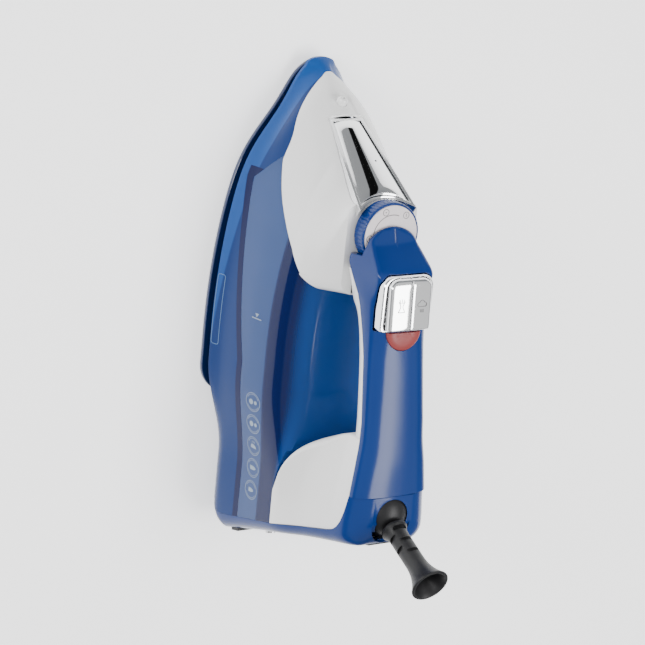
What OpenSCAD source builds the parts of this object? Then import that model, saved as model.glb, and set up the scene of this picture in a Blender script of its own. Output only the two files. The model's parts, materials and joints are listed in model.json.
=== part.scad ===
// Steam iron lying flat on its soleplate: nose towards +X, handle towards +Z.
// Stations s run back from the soleplate's tip, so x = nose_x - s.

/* [Soleplate] */
// Length of the soleplate from its tip to its rear edge
sole_len = 214; // [210:1:216]
// Greatest half width of the soleplate
sole_half_w = 61.5; // [60.5:0.5:62.5]
// Thickness of the coated plate
sole_thick = 3.6; // [3:0.1:4]
// Radius of a steam vent
vent_r = 1.2; // [0.8:0.1:1.5]

/* [Body] */
// Wall thickness of the moulded shells
wall = 2.4; // [2:0.1:2.8]
// Height of the water tank's top above the floor
tank_top = 81; // [79:0.5:82]
// Height of the platform under the dial
deck_z = 96; // [95.5:0.1:96.2]
// Gap left between neighbouring mouldings
seam = 0.1; // [0.06:0.02:0.2]

/* [Dial] */
// Radius of the knurled dial ring
dial_r = 20; // [19:0.5:20]
// Height of the dial ring
dial_h = 10; // [9:0.5:10]
// Number of knurls on the dial ring
knurls = 48; // [36:4:60]

/* [Buttons] */
// Travel of the spray and steam buttons
press = 4; // [3:0.5:4]
// Length of a button along the handle
button_len = 31; // [29:1:31]
// Width of one button
button_w = 14.8; // [14:0.2:14.8]

/* [Cord guard] */
// Radius of the swivel ball
ball_r = 15.8; // [15.4:0.1:15.8]
// Length of the guard from the ball's centre to its mouth
guard_len = 64; // [56:1:68]
// Lean of the guard's axis from the vertical, towards the heel
guard_lean = 23.6; // [20:0.2:26]

/* [Hidden] */
$fn = 48;

blue = [0.13, 0.30, 0.62];
tank_blue = [0.10, 0.33, 0.70, 0.6];
white = [0.93, 0.93, 0.93];
chrome = [0.80, 0.81, 0.83];
black = [0.08, 0.08, 0.08];
steel = [0.62, 0.63, 0.65];
brass = [0.75, 0.60, 0.30];

nose_x = sole_len / 2;
span = 160;

// ---- helpers -------------------------------------------------------------

function X(s) = nose_x - s;
function mix(a, b, t) = a + (b - a) * t;
function clamp01(t) = max(0, min(1, t));
function ease(a, b, s) = let (t = clamp01((s - a) / (b - a))) t * t * (3 - 2 * t);

// Triangles that fill a ring of n points (n even) in strips between its two sides.
function cap(n) = concat([[0, 1, n - 1]],
  [for (j = [1 : n / 2 - 2]) each [[j, j + 1, n - j - 1], [j, n - j - 1, n - j]]],
  [[n / 2 - 1, n / 2, n / 2 + 1]]);

// A closed skin through rings of points that all run the same way round.
module skin(rings, strips = false) {
  n = len(rings[0]);
  m = len(rings);
  sides = [for (i = [0 : m - 2], j = [0 : n - 1]) let (k = (j + 1) % n)
    each [[i * n + j, (i + 1) * n + j, (i + 1) * n + k], [i * n + j, (i + 1) * n + k, i * n + k]]];
  low = strips ? cap(n) : [[for (j = [0 : n - 1]) j]];
  high = [for (f = low) [for (j = [len(f) - 1 : -1 : 0]) f[j] + (m - 1) * n]];
  polyhedron([for (r = rings) each r], concat(low, high, sides), convexity = 8);
}

// A level ring at height z from a half outline of [s, y] points, tip first, rear last.
function level(half, z) = let (n = len(half)) concat(
  [for (p = half) [X(p[0]), p[1], z]],
  [for (i = [n - 2 : -1 : 1]) [X(half[i][0]), -half[i][1], z]]);

// A slab along Y whose side view is a list of [s, z] points.
module side_slab(points, width = span) {
  rotate([90, 0, 0])
    translate([0, 0, -width / 2])
      linear_extrude(width)
        polygon([for (p = points) [X(p[0]), p[1]]]);
}

// A flat plate between two heights from a half outline.
module plan_plate(half, z0, z1) {
  n = len(half);
  translate([0, 0, z0])
    linear_extrude(z1 - z0)
      polygon(concat([for (p = half) [X(p[0]), p[1]]],
                     [for (i = [n - 2 : -1 : 1]) [X(half[i][0]), -half[i][1]]]));
}

module rod(s, y, z0, z1, r) {
  translate([X(s), y, z0]) cylinder(h = z1 - z0, r = r);
}

// A round bar from point a to point b.
module bar(a, b, r) {
  d = b - a;
  translate(a)
    rotate([0, acos(d[2] / norm(d)), atan2(d[1], d[0])])
      cylinder(h = norm(d), r = r);
}

// A smooth curve through the points a, b, c, d between b and c, at t from 0 to 1.
function curve_at(a, b, c, d, t) =
  0.5 * (2 * b + (c - a) * t + (2 * a - 5 * b + 4 * c - d) * t * t + (3 * b - a - 3 * c + d) * t * t * t);
function curve(p, steps) = let (n = len(p)) concat(
  [for (i = [0 : n - 2], k = [0 : steps - 1])
    curve_at(p[max(0, i - 1)], p[i], p[i + 1], p[min(n - 1, i + 2)], k / steps)],
  [p[n - 1]]);

// A bent tube swept along [s, y, z] points.
module pipe(points, r, steps = 3, sides = 8) {
  route = curve([for (p = points) [X(p[0]), p[1], p[2]]], steps);
  n = len(route);
  skin([for (i = [0 : n - 1])
    let (d = route[min(n - 1, i + 1)] - route[max(0, i - 1)], t = d / norm(d))
    let (u = cross([0, 1, 0], t) / norm(cross([0, 1, 0], t)), v = cross(t, u))
    [for (j = [0 : sides - 1]) route[i] + r * (cos(360 * j / sides) * u + sin(360 * j / sides) * v)]]);
}

// ---- soleplate outline ---------------------------------------------------

sole_corner = 20;
tip_pinch = 9;

// How much the precision tip is slimmer than a plain ellipse.
function pinch(s) = tip_pinch * exp(-pow((s - 24) / 26, 2)) * ease(-3, 3, s);

// Half width: an elliptic nose with a slimmer precision tip, then a round rear corner.
function sole_w(s, inset) =
  let (run = 172 - inset * 0.8, w = sole_half_w - inset, t = clamp01((s - inset * 1.6) / run))
  max(0, w * sqrt(1 - pow(1 - t, 2)) - pinch(s));

function sole_half(inset) =
  let (s0 = inset * 1.6, s1 = sole_len - inset, r = sole_corner - inset / 2, w = sole_half_w - inset)
  concat([[s0, 0]],
         [for (i = [1 : 22]) let (s = s0 + (s1 - r - s0) * pow(i / 22, 1.7), y = sole_w(s, inset)) if (y > 0.3) [s, y]],
         [for (i = [1 : 5]) [s1 - r + r * sin(18 * i), w - r + r * cos(18 * i)]],
         [[s1, 0]]);

// ---- body surfaces -------------------------------------------------------

nose_rise = 0.797;
full_s = 169;
hood_rear = 124;
heel_foot_s = 299;
heel_foot_z = 24;
heel_slope = 0.254;
heel_tilt = atan(heel_slope);
heel_arch = 3;
band = 10.5;
mould_nose = -3;
mould_z = 12;

function nose_s(z) = mould_nose + max(0, z - mould_z) * nose_rise;
// The pinch of the tip fades out up the mouldings.
function body_pinch(s, z) = pinch(s) * (1 - ease(12, 34, z));

// Half width of the middle of the body at height z.
function mid_w(z) = lookup(z, [[10, 60.5], [20, 57.5], [32, 56.6], [44, 55.3], [56, 52.8],
                               [66, 49.5], [73, 45], [78, 37], [tank_top, 24]]);
// Half width of the rear of the body and of the heel.
function rear_w(z) = lookup(z, [[10, 47.5], [14, 49.5], [20, 50.5], [44, 48.8], [66, 47], [76, 46],
                                [100, 38], [120, 32], [131, 28.5], [135, 25], [138, 20], [140, 14]]);
// Half width of the hood.
function hood_w(z) = lookup(z, [[10, 60.5], [20, 57.5], [32, 56.6], [44, 55.3], [56, 52.8],
                                [66, 49.5], [73, 44.5], [80, 38], [88, 31], [deck_z, 24.5]]);
function hood_run(z) = z < 66 ? full_s - nose_s(z) : mix(full_s - nose_s(66), 10, (z - 66) / (deck_z - 66));

// Rear face of the heel: a leaning plane with a shallow arch between its two feet.
function heel_s(z) = z < heel_foot_z
  ? heel_foot_s - 0.036 * pow(heel_foot_z - z, 2)
  : heel_foot_s - heel_slope * (z - heel_foot_z)
    - heel_arch * sin(180 * clamp01((z - heel_foot_z) / 114)) - 0.9 * pow(max(0, z - 135), 1.4);
function cover_s(z) = heel_foot_s - heel_slope * max(0, z - heel_foot_z) - band;

function body_half(z, inset) =
  let (w = mid_w(z) - inset, wr = rear_w(z) - inset, r = 9 - inset, s0 = nose_s(z) + inset * 1.3)
  let (s1 = heel_s(z) - inset - r)
  concat([for (i = [0 : 14]) let (a = 90 * i / 14, s = s0 + (full_s - s0) * (1 - cos(a)))
           [s, i == 0 ? 0 : w * sin(a) - body_pinch(s, z)]],
         [for (i = [1 : 6]) let (s = mix(full_s, s1, i / 6)) [s, mix(w, wr, ease(188, 250, s))]],
         [for (i = [1 : 3]) [s1 + r * sin(30 * i), wr - r + r * cos(30 * i)]],
         [[s1 + r, 0]]);

function hood_half(z, inset) =
  let (w = hood_w(z) - inset, s0 = nose_s(z) + inset * 1.3, run = hood_run(z), s1 = hood_rear - inset)
  let (stop = s0 + run > s1 ? acos(1 - (s1 - s0) / run) : 90, last = min(s1 - 0.5, s0 + run * (1 - cos(stop))))
  concat([for (i = [0 : 12]) let (a = stop * i / 12, s = min(s1 - 0.5, s0 + run * (1 - cos(a))))
           [s, i == 0 ? 0 : w * sin(a) - body_pinch(s, z)]],
         [for (i = [1 : 3]) [mix(last, s1, i / 3), w * sin(stop)]],
         [[s1, 0]]);

function heel_half(z, inset) =
  let (wr = rear_w(z) - inset, r = min(9, wr * 0.6) - inset / 2, s0 = 225, s1 = heel_s(z) - inset - r)
  concat([[s0, 0], [s0, min(26.5, wr)]],
         [for (i = [1 : 3]) let (s = mix(s0, s1, i / 3)) [s, wr * mix(0.94, 1, ease(236, 262, s))]],
         [for (i = [1 : 4]) [s1 + r * sin(22.5 * i), wr - r + r * cos(22.5 * i)]],
         [[s1 + r, 0]]);

// Front face and front half width of the rear leg.
function leg_s(z) = lookup(z, [[70, 232], [76, 227], [82, 222], [90, 218], [100, 213], [110, 207.5],
                               [115, 203.5], [135, 203.5]]);
function leg_w(z) = lookup(z, [[70, 42], [76, 40], [82, 36], [90, 31], [100, 26.5], [110, 23],
                               [115, 22], [135, 22]]);
function leg_half(z, inset) =
  let (w = leg_w(z) - inset, wr = rear_w(z) - inset, s0 = leg_s(z) + inset, s1 = heel_s(z) - inset)
  let (r = z < 112 ? 9 : 2)
  concat([[s0, 0]],
         [for (i = [0 : 3]) [s0 + r - r * cos(30 * i), w - r + r * sin(30 * i)]],
         [for (i = [1 : 5]) let (s = mix(s0 + r, s1 - 6, i / 5)) [s, mix(w, wr, (s - s0 - r) / (s1 - s0 - r))]],
         [[s1, wr - 6], [s1, 0]]);

module body_solid(inset, z0, z1, strips = false) {
  heights = concat([z0], [for (z = [14, 20, 26, 34, 44, 56, 66, 73, 78]) if (z > z0 + 1 && z < z1 - 1) z], [z1]);
  skin([for (z = heights) level(body_half(z, inset), z)], strips = strips);
}
module hood_solid(inset, z0, z1) {
  heights = concat([z0], [for (z = [20, 26, 34, 44, 56, 66, 70, 75, 80, 84, 88, 92]) if (z > z0 + 1 && z < z1 - 1) z], [z1]);
  skin([for (z = heights) level(hood_half(z, inset), z)]);
}
module leg_solid(inset, z0, z1) {
  heights = concat([z0], [for (z = [76, 82, 90, 100, 110, 115, 122]) if (z > z0 + 1 && z < z1 - 1) z], [z1]);
  skin([for (z = heights) level(leg_half(z, inset), z)]);
}
module heel_solid(inset, z0, z1) {
  heights = concat([z0],
    [for (z = [14, 18, 24, 44, 66, 84, 100, 116, 126, 131, 135, 138]) if (z > z0 + 0.8 && z < z1 - 0.8) z], [z1]);
  skin([for (z = heights) level(heel_half(z, inset), z)]);
}

// ---- handle surface ------------------------------------------------------

function handle_top(s) = lookup(s, [[79, 109.4], [84, 111.5], [90, 114.5], [96, 122], [101, 128],
                                    [105, 130], [125, 130.5], [150, 131.5], [175, 134.5], [203, 138],
                                    [222, 139.6], [240, 140]]);
function handle_low(s) = lookup(s, [[79, 95], [118, 95], [122, 97], [127, 101.5], [134, 105], [150, 108],
                                    [175, 112], [203, 115], [222, 117], [240, 118]]);
function handle_w(s) = lookup(s, [[79, 2], [80, 7], [82, 10.5], [86, 15], [90, 18], [96, 21], [104, 23],
                                  [118, 22.5], [125, 21.5], [150, 20.5], [175, 21], [203, 22],
                                  [222, 24.5], [240, 26.8]]);
// Height of the seam between the blue top shell and the white lower shell.
function split_z(s) = lookup(s, [[97, deck_z], [118, 112], [154, 121.5], [194, 128.5], [222, 130.5], [240, 131]]);

// Cross-section of the handle: a rounded box, widest at its seam.
function handle_ring(s, inset) =
  let (w = max(0.6, handle_w(s) - inset), top = handle_top(s) - inset, low = handle_low(s) + inset)
  let (zc = max(min(split_z(s), top - 5), low + 6))
  [for (i = [0 : 23]) let (a = 15 * i, c = cos(a), d = sin(a))
    [X(s), w * sign(c) * pow(abs(c), 0.75), zc + (d > 0 ? top - zc : zc - low) * sign(d) * pow(abs(d), 0.8)]];
module handle_solid(inset, s0, s1) {
  stations = concat([s0],
    [for (s = [80, 82, 86, 90, 96, 101, 105, 112, 118, 122, 127, 134, 150, 165, 180, 194, 203, 212, 222, 231])
      if (s > s0 + 0.5 && s < s1 - 0.5) s], [s1]);
  n = len(stations);
  skin([for (i = [n - 1 : -1 : 0]) handle_ring(stations[i], inset)]);
}

// ---- side views of the mouldings' edges ----------------------------------

hood_edge = [[-8, 16], [2, 20], [10, 23.5], [22, 27.5], [40, 35.5], [57, 37.8], [77, 48.5], [107, 69],
             [124.4, 82.5]];
cover_edge = [[239, 131], [252, 127.5], [260, 122], [cover_s(113), 113], [cover_s(76), 76],
              [cover_s(24), 24]];
tank_low = [[69, 20], [107, 27.6], [180, 42.2]];
tank_nose = [52, 37.1];
patch_z = 76;

function shifted(points, ds, dz) = [for (p = points) [p[0] + ds, p[1] + dz]];

skirt_view = concat([[-8, 8]], shifted([for (p = hood_edge) if (p[0] < 52) p], 0, -seam),
                    [[tank_nose[0], tank_nose[1] - seam]], shifted(tank_low, 0, -seam),
                    [[cover_s(42.2) - seam, 42.2 - seam], [cover_s(24) - seam, 24], [cover_s(8) - seam, 8]]);
hood_view = concat(hood_edge, [[124.4, 120], [-8, 120]]);

// Side view of the tank, moved inwards by i on every side.
function tank_view(i) = concat(
  [[tank_low[0][0] + i * 0.4, tank_low[0][1] + i * 1.1], [tank_nose[0] + i * 2.2, tank_nose[1] - seam - i * 0.6]],
  shifted([for (p = hood_edge) if (p[0] > 52) p], i * 0.6 + seam, -seam - i * 0.9),
  [[124.6 + i, tank_top + 10], [leg_s(82) - 1, tank_top + 10], [leg_s(82) - 1 - i, 79.5 - i],
   [leg_s(76) + 6, patch_z - seam - i], [cover_s(76) - seam - i, patch_z - seam - i],
   [cover_s(42.2) - seam - i, 42.2 + i]],
  [[tank_low[2][0], tank_low[2][1] + i], [tank_low[1][0], tank_low[1][1] + i]]);

leg_view = concat([[leg_s(82) - 0.9 + seam, tank_top + 10]],
  [[170, 100], [170, 150], [203, split_z(203) - seam], [222, split_z(222) - seam], [239, 131 - seam]],
  [[252, 127.5 - seam], [260 - seam, 122 - seam], [cover_s(113) - seam, 113],
   [cover_s(76) - seam, patch_z], [leg_s(76) + 6, patch_z], [leg_s(82) - 0.9 + seam, 79.6]]);
cover_view = concat([[239, 150]], cover_edge, [[cover_s(24), 0], [320, 0], [320, 150]]);
top_shell_view = [[70, 108.4], [96, 108.4], [97, deck_z + seam], [118, 112], [154, 121.5], [194, 128.5],
                  [222, 130.5], [239 - seam, 131], [239 - seam, 150], [70, 150]];
lower_shell_view = [[105, deck_z + seam], [105, 102.1 - seam], [118, 112 - seam], [154, 121.5 - seam],
                    [194, 128.5 - seam], [203.4, 129.1 - seam], [203.4, 90], [hood_rear + 0.2, 90],
                    [hood_rear + 0.2, deck_z + seam]];

// ---- door, dial and valve places -----------------------------------------

door_s = 30;
door_z = 47;
door_tilt = 53.13;
door_len = 57.4;
door_narrow = 9.5;
door_wide = 16.6;
door_thick = 2.4;
frame_rim = 2.6;
pin_along = 2.2;
pin_drop = 1.6;
pin_r = 0.8;
fill_along = 22;
fill_r = 6.8;
pocket = 5;
chute_depth = 36;

// Local frame on the hood's sloping front: x up the slope, z outwards.
module on_slope() { translate([X(door_s), 0, door_z]) rotate([0, -door_tilt, 180]) children(); }

dial_s = 85;
dial_z = 96.8;
shaft_r = 3;
shaft_low = 22.4;
valve_s = 92;
valve_y = 12;
needle_r = 1.5;
cam_z = 88;

door_bow = 30;
// Outline of the fill cover in the slope's frame, grown by g; its wide end curves round the dial.
module door_outline(g) {
  difference() {
    polygon([[-g, -door_narrow - g], [door_len + 8 + g, -door_wide - 0.9 - g],
             [door_len + 8 + g, door_wide + 0.9 + g], [-g, door_narrow + g]]);
    translate([door_len + door_bow + g, 0]) circle(r = door_bow, $fn = 96);
  }
}

button_s = 104.2;
button_z0 = 130.4;
button_gap = 0.5;
pump_s = 115;
pump_y = 8;
pump_low = 99;
pump_top = 111;
piston_r = 3;
flange_z = 122.4;
spring_r = 4.4;
spring_wire = 0.5;
spring_turns = 6;
bezel_w = 18.4;
bezel_end = 137.2;

guard_s = 252;
guard_z = 128;
lens_s = 137.6;
lens_r = 11.6;

// Local frame on the cord guard's axis, z outwards from the ball's centre.
module on_guard() { translate([X(guard_s), 0, guard_z]) rotate([0, -guard_lean, 0]) children(); }
// Local frame on the heel: z up along the heel, x into the body.
module on_heel() { translate([X(heel_foot_s), 0, heel_foot_z]) rotate([0, heel_tilt, 0]) children(); }

element_y = 20;
element_s = 92;
element_end = 190;
element_z = 9.4;
element_r = 3.5;
cast_top = 13;
lid_z = 13.05;
lid_top = 14.3;

// ---- sole assembly -------------------------------------------------------

module vent_row(inset, count) {
  for (i = [1 : count], side = [-1, 1]) {
    s = 40 + (176 - 40) * i / count;
    translate([X(s), side * sole_w(s, inset), -1]) cylinder(h = 10, r = vent_r, $fn = 16);
  }
}

module soleplate() color(blue) difference() {
  union() {
    plan_plate(sole_half(0.9), 0, 0.8);
    plan_plate(sole_half(0), 0.8, sole_thick);
    plan_plate(sole_half(9), sole_thick - 0.1, cast_top);
  }
  difference() {
    plan_plate(sole_half(14), 6.5, cast_top + 1);
    translate([X(element_end + 30), -element_y - 7, 0]) cube([element_end + 30 - 63, 2 * element_y + 14, 20]);
  }
  for (side = [-1, 1])
    translate([X(element_end + 4), side * element_y - element_r - 0.1, element_z - element_r - 0.1])
      cube([element_end + 4 - element_s, 2 * element_r + 0.2, 20]);
  translate([X(element_s), 0, element_z - element_r - 0.1]) difference() {
    cylinder(h = 20, r = element_y + element_r + 0.1);
    translate([0, 0, -1]) cylinder(h = 30, r = element_y - element_r - 0.1);
    translate([-60, -30, -1]) cube([60, 60, 30]);
  }
  rod(valve_s, valve_y, 6.5, 20, 2.5);
  vent_row(20, 9);
  for (s = [32, 40, 48]) translate([X(s), 0, -1]) cylinder(h = 10, r = vent_r, $fn = 16);
}

module steam_chamber_cover() color(steel) difference() {
  plan_plate(sole_half(11), lid_z, lid_top);
  for (side = [-1, 1]) rod(element_end, side * element_y, 0, 30, 5);
  rod(valve_s, valve_y, 0, 30, 2.4);
}

module heating_element() color(steel) {
  for (side = [-1, 1]) {
    bar([X(element_end), side * element_y, element_z], [X(element_s), side * element_y, element_z], element_r);
    rod(element_end, side * element_y, element_z, 29, 2.6);
  }
  translate([X(element_s), 0, element_z])
    rotate([0, 0, -90])
      rotate_extrude(angle = 180) translate([element_y, 0]) circle(r = element_r);
}

module thermostat() color(brass) difference() {
  union() {
    rod(dial_s, 0, lid_top + 0.05, shield_top - 2.3, 9.6);
    translate([X(dial_s + 26), -6, lid_top + 0.05]) cube([20, 12, 1.3]);
    rod(dial_s, 0, shield_top - 2.4, 30, 3.95);
  }
  rod(dial_s, 0, shaft_low - 0.3, 31, shaft_r + 0.06);
}

module thermal_fuse() color(steel) {
  bar([X(150), -7, 18], [X(128), -7, 18], 3);
  for (s = [130, 146]) translate([X(s + 2), -9, lid_top + 0.05]) cube([4, 4, 3]);
}

shield_low = 3.7;
shield_step = 11;
shield_top = 18;
module heat_shield() color(black) difference() {
  union() {
    plan_plate(sole_half(4.5), shield_low, shield_step);
    plan_plate(sole_half(6.4), shield_step - 1, shield_top);
  }
  plan_plate(sole_half(8.8), shield_low - 1, shield_top - 2.2);
  translate([X(153), -12, 10]) cube([28, 10, 20]);
  rod(dial_s, 0, 10, 40, 5.4);
  rod(valve_s, valve_y, 10, 40, 4.4);
  for (side = [-1, 1]) rod(element_end, side * element_y, 10, 40, 3.2);
  for (p = screw_places) rod(p[0], p[1], 0, 40, 2.2);
}

screw_places = [[40, 0], [172, 44], [172, -44]];
module sole_screws() color(steel) {
  for (p = screw_places) {
    rod(p[0], p[1], lid_top + 0.2, shield_top + 0.05, 2);
    rod(p[0], p[1], shield_top + 0.05, shield_top + 2, 3.6);
  }
}

// ---- body mouldings ------------------------------------------------------

skirt_low = 9.6;
module skirt() color(blue) {
  difference() {
    intersection() {
      body_solid(0, skirt_low, 50);
      side_slab(skirt_view);
    }
    difference() {
      body_solid(wall, skirt_low - 1, 52);
      side_slab([[sole_len + 3, 0], [sole_len + 3, skirt_low + wall], [320, skirt_low + wall], [320, 0]]);
    }
    side_slab([[cover_s(0) + 0.2, 0], [cover_s(0) + 0.2, 60], [320, 60], [320, 0]]);
  }
}

module water_tank() color(tank_blue) difference() {
  intersection() {
    body_solid(0, 18, tank_top, strips = true);
    side_slab(tank_view(0));
  }
  difference() {
    intersection() {
      body_solid(wall, 18, tank_top - wall, strips = true);
      side_slab(tank_view(wall));
    }
    rod(dial_s, 0, 10, 90, 6.4);
    rod(valve_s, valve_y, 10, 90, 6);
  }
  rod(dial_s, 0, 10, 90, 4.2);
  rod(valve_s, valve_y, 10, 90, 1.9);
  rod(valve_s, valve_y, 10, 32, 4.1);
  on_slope() translate([fill_along, 0, -chute_depth - 6]) cylinder(h = 32, r = fill_r + 1.3);
}

nozzle_s = 17.5;
nozzle_z = 40.5;
nozzle_tilt = 51.5;
module at_nozzle() { translate([X(nozzle_s), 0, nozzle_z]) rotate([0, nozzle_tilt, 0]) children(); }

module front_hood() color(white) difference() {
  intersection() {
    hood_solid(0, 14, deck_z);
    side_slab(hood_view);
  }
  hood_solid(wall, 13, deck_z - wall);
  on_slope() translate([-frame_rim - 0.6, -50, 0.4]) cube([120, 100, 40]);
  on_slope() translate([0, 0, -pocket - 0.1]) linear_extrude(20) door_outline(frame_rim + 0.1);
  rod(dial_s, 0, 80, 120, shaft_r + 0.8);
  translate([X(123), -17, 80]) cube([16, 34, 40]);
  at_nozzle() translate([0, 0, -14]) cylinder(h = 20, r = 3.7);
  at_nozzle() translate([0, 0, 5.2]) sphere(r = 7.6);
}

module spray_nozzle() color(white) at_nozzle() difference() {
  union() {
    translate([0, 0, -10]) cylinder(h = 9.5, r = 3.5);
    translate([0, 0, -0.5]) cylinder(h = 2, r1 = 3.5, r2 = 2.2);
  }
  translate([0, 0, -6]) cylinder(h = 10, r = 0.6, $fn = 24);
  translate([0, 0, -10.5]) cylinder(h = 4, r = 1.5, $fn = 24);
}

// ---- fill cover ----------------------------------------------------------

module fill_frame() color(chrome) on_slope() difference() {
  translate([0, 0, -pocket]) linear_extrude(pocket + 0.5) door_outline(frame_rim);
  translate([0, 0, -pocket + 1.5]) linear_extrude(pocket + 5) door_outline(0.4);
  translate([fill_along, 0, -pocket - 1]) cylinder(h = 5, r = fill_r);
}

module fill_door() color(chrome) on_slope() difference() {
  union() {
    translate([0, 0, -door_thick]) linear_extrude(door_thick) door_outline(0);
    for (side = [-1, 1])
      translate([pin_along, side * 5 + 2, -pin_drop]) rotate([90, 0, 0]) cylinder(h = 4, r = 1.5);
  }
  translate([-3, -30, -10]) cube([3.7, 60, 20]);
  translate([pin_along, 20, -pin_drop]) rotate([90, 0, 0]) cylinder(h = 40, r = pin_r + 0.06);
}

module fill_door_pin() color(steel) on_slope()
  translate([pin_along, door_narrow + 0.25, -pin_drop])
    rotate([90, 0, 0]) cylinder(h = 2 * door_narrow + 0.5, r = pin_r);

module fill_plug() color(black) on_slope()
  translate([fill_along, 0, -6.2]) difference() {
    union() {
      cylinder(h = 6.2 - door_thick - 0.02, r = 5.4);
      translate([0, 0, 3]) cylinder(h = 0.78, r = 6.2);
    }
    translate([0, 0, -1]) cylinder(h = 3, r = 3.6);
  }

module fill_chute() color(white) on_slope() difference() {
  translate([fill_along, 0, -chute_depth]) cylinder(h = chute_depth - pocket - 0.2, r = fill_r + 1.2);
  translate([fill_along, 0, -chute_depth - 1]) cylinder(h = 50, r = fill_r);
}

// ---- dial ----------------------------------------------------------------

module dial_ring() color(blue) difference() {
  translate([X(dial_s), 0, dial_z]) cylinder(h = dial_h, r = dial_r, $fn = 96);
  for (i = [0 : knurls - 1])
    translate([X(dial_s), 0, dial_z + 1.2]) rotate([0, 0, 360 * i / knurls])
      translate([dial_r + 0.45, 0, 0]) cylinder(h = dial_h - 2.6, r = 0.8, $fn = 16);
  translate([X(dial_s), 0, dial_z + dial_h - 1.2]) cylinder(h = 3, r = dial_r - 1.5, $fn = 96);
  rod(dial_s, 0, dial_z - 1, dial_z + 5, shaft_r + 0.02);
}

module dial_disc() color([0.82, 0.79, 0.80])
  translate([X(dial_s), 0, dial_z + dial_h - 1.18]) cylinder(h = 1.3, r = dial_r - 1.55, $fn = 96);

module dial_shaft() color(steel) {
  rod(dial_s, 0, shaft_low, dial_z + 4.9, shaft_r);
}

module valve_cam() color(white) difference() {
  rod(dial_s, 0, cam_z, cam_z + 3, 15.5);
  rod(dial_s, 0, 80, 99, shaft_r + 0.02);
}

module valve_needle() color(steel) {
  rod(valve_s, valve_y, 20, 84, needle_r);
  rod(valve_s, valve_y, 83, 86, 3.2);
}

module valve_seat() color(brass) difference() {
  union() {
    rod(valve_s, valve_y, lid_top - 2, 31, 2.3);
    rod(valve_s, valve_y, lid_top + 0.05, 31, 4);
  }
  rod(valve_s, valve_y, 5, 32, needle_r + 0.06);
}

// ---- handle --------------------------------------------------------------

module dial_well() { rod(dial_s, 0, 90, 108.5, dial_r + 0.7); }

module button_well() {
  translate([X(bezel_end + 0.1), -bezel_w - 0.1, 100]) cube([bezel_end - button_s + 1.9, 2 * bezel_w + 0.2, 60]);
}
module lens_well(grow) {
  intersection() {
    rod(lens_s, 0, 120, 150, lens_r + grow);
    translate([X(lens_s + 30), -30, 100]) cube([30 + 2.4 * grow, 60, 60]);
  }
}

module handle_top_shell() color(blue) difference() {
  intersection() {
    handle_solid(0, 79, 240);
    side_slab(top_shell_view);
  }
  difference() {
    handle_solid(wall, 98, 239.5);
    side_slab([[90, 0], [90, 150], [101, 150], [101, 0]]);
  }
  dial_well();
  button_well();
  lens_well(0.15);
}

module handle_lower_shell() color(white) difference() {
  intersection() {
    handle_solid(0, 104, 205);
    side_slab(lower_shell_view);
  }
  difference() {
    handle_solid(wall, 104, 206);
    side_slab([[100, 0], [100, 150], [107.4, 150], [107.4, 0]]);
  }
  translate([X(122), -16, 80]) cube([13, 32, 20]);
  dial_well();
}

module rear_side_shell() color(white) difference() {
  intersection() {
    leg_solid(0, 75, 133);
    side_slab(leg_view);
  }
  leg_solid(wall, 74, 134);
}

module rear_cover() color(blue) difference() {
  intersection() {
    heel_solid(0, 10, 140);
    side_slab(cover_view);
  }
  difference() {
    heel_solid(wall, 12.4, 137.4);
    side_slab([[200, 12], [200, 150], [238, 150], [238, 12]]);
  }
  on_guard() sphere(r = ball_r + 0.5, $fn = 64);
  on_guard() translate([0, 0, 12.5]) cylinder(h = 40, r = 13.4);
  heel_pads(0.05);
  for (p = heel_screw_places) on_heel() translate([0, p[0], p[1]]) rotate([0, 90, 0]) {
    translate([0, 0, -9]) cylinder(h = 30, r = 1.7);
    translate([0, 0, -9]) cylinder(h = 10, r = 3.6);
  }
}

pad_out = 1.2;
module heel_pads(grow) {
  on_heel() {
    for (side = [-1, 1])
      translate([-pad_out - grow, side * 34 - 9 - grow, 3 - grow]) cube([3.4 + grow, 18 + 2 * grow, 8 + 2 * grow]);
    translate([-pad_out - grow, -9 - grow, 104 - grow]) cube([4.4 + grow, 18 + 2 * grow, 7 + 2 * grow]);
  }
}
module heel_feet() color(black) heel_pads(0);

heel_screw_places = [[30, 30], [-30, 30], [0, 84]];
module heel_screws() color(steel)
  for (p = heel_screw_places) on_heel() translate([0, p[0], p[1]]) rotate([0, 90, 0]) {
    translate([0, 0, 1.05]) cylinder(h = 9, r = 1.6);
    difference() {
      translate([0, 0, -1]) cylinder(h = 2, r = 3.3);
      translate([-0.5, -2.5, -2]) cube([1, 5, 1.8]);
      translate([-2.5, -0.5, -2]) cube([5, 1, 1.8]);
    }
  }

// ---- buttons and pumps ---------------------------------------------------

module button_bezel() color(chrome) difference() {
  translate([X(bezel_end), -bezel_w, 124]) cube([bezel_end - button_s + 1.6, 2 * bezel_w, 7.6]);
  translate([X(button_s + button_len + 0.4), -button_w - button_gap - 0.3, 126])
    cube([button_len + 0.8, 2 * (button_w + button_gap + 0.3), 20]);
  for (side = [-1, 1]) rod(pump_s, side * pump_y, 120, 130, piston_r + 0.5);
}

// One button: a cap with a slope down to its outer side and a short skirt.
module button(side) {
  lo = 131.5;
  front_top = 135.5;
  back_top = 137.4;
  translate([X(button_s), 0, 0]) rotate([0, 0, 180]) mirror([0, side > 0 ? 1 : 0, 0])
    translate([0, button_gap / 2, 0]) difference() {
      rotate([90, 0, 0]) translate([0, 0, -button_w])
        linear_extrude(button_w)
          polygon([[0, lo], [-1.2 + 1.6, front_top - 1.2], [2, front_top], [button_len - 2, back_top],
                   [button_len, back_top - 1.6], [button_len, lo]]);
      translate([-1, button_w - 3, front_top - 1]) rotate([-36, 0, 0]) cube([button_len + 2, 12, 12]);
    }
}
module spray_button() color(chrome) button(1);
module steam_button() color(chrome) button(-1);

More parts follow.
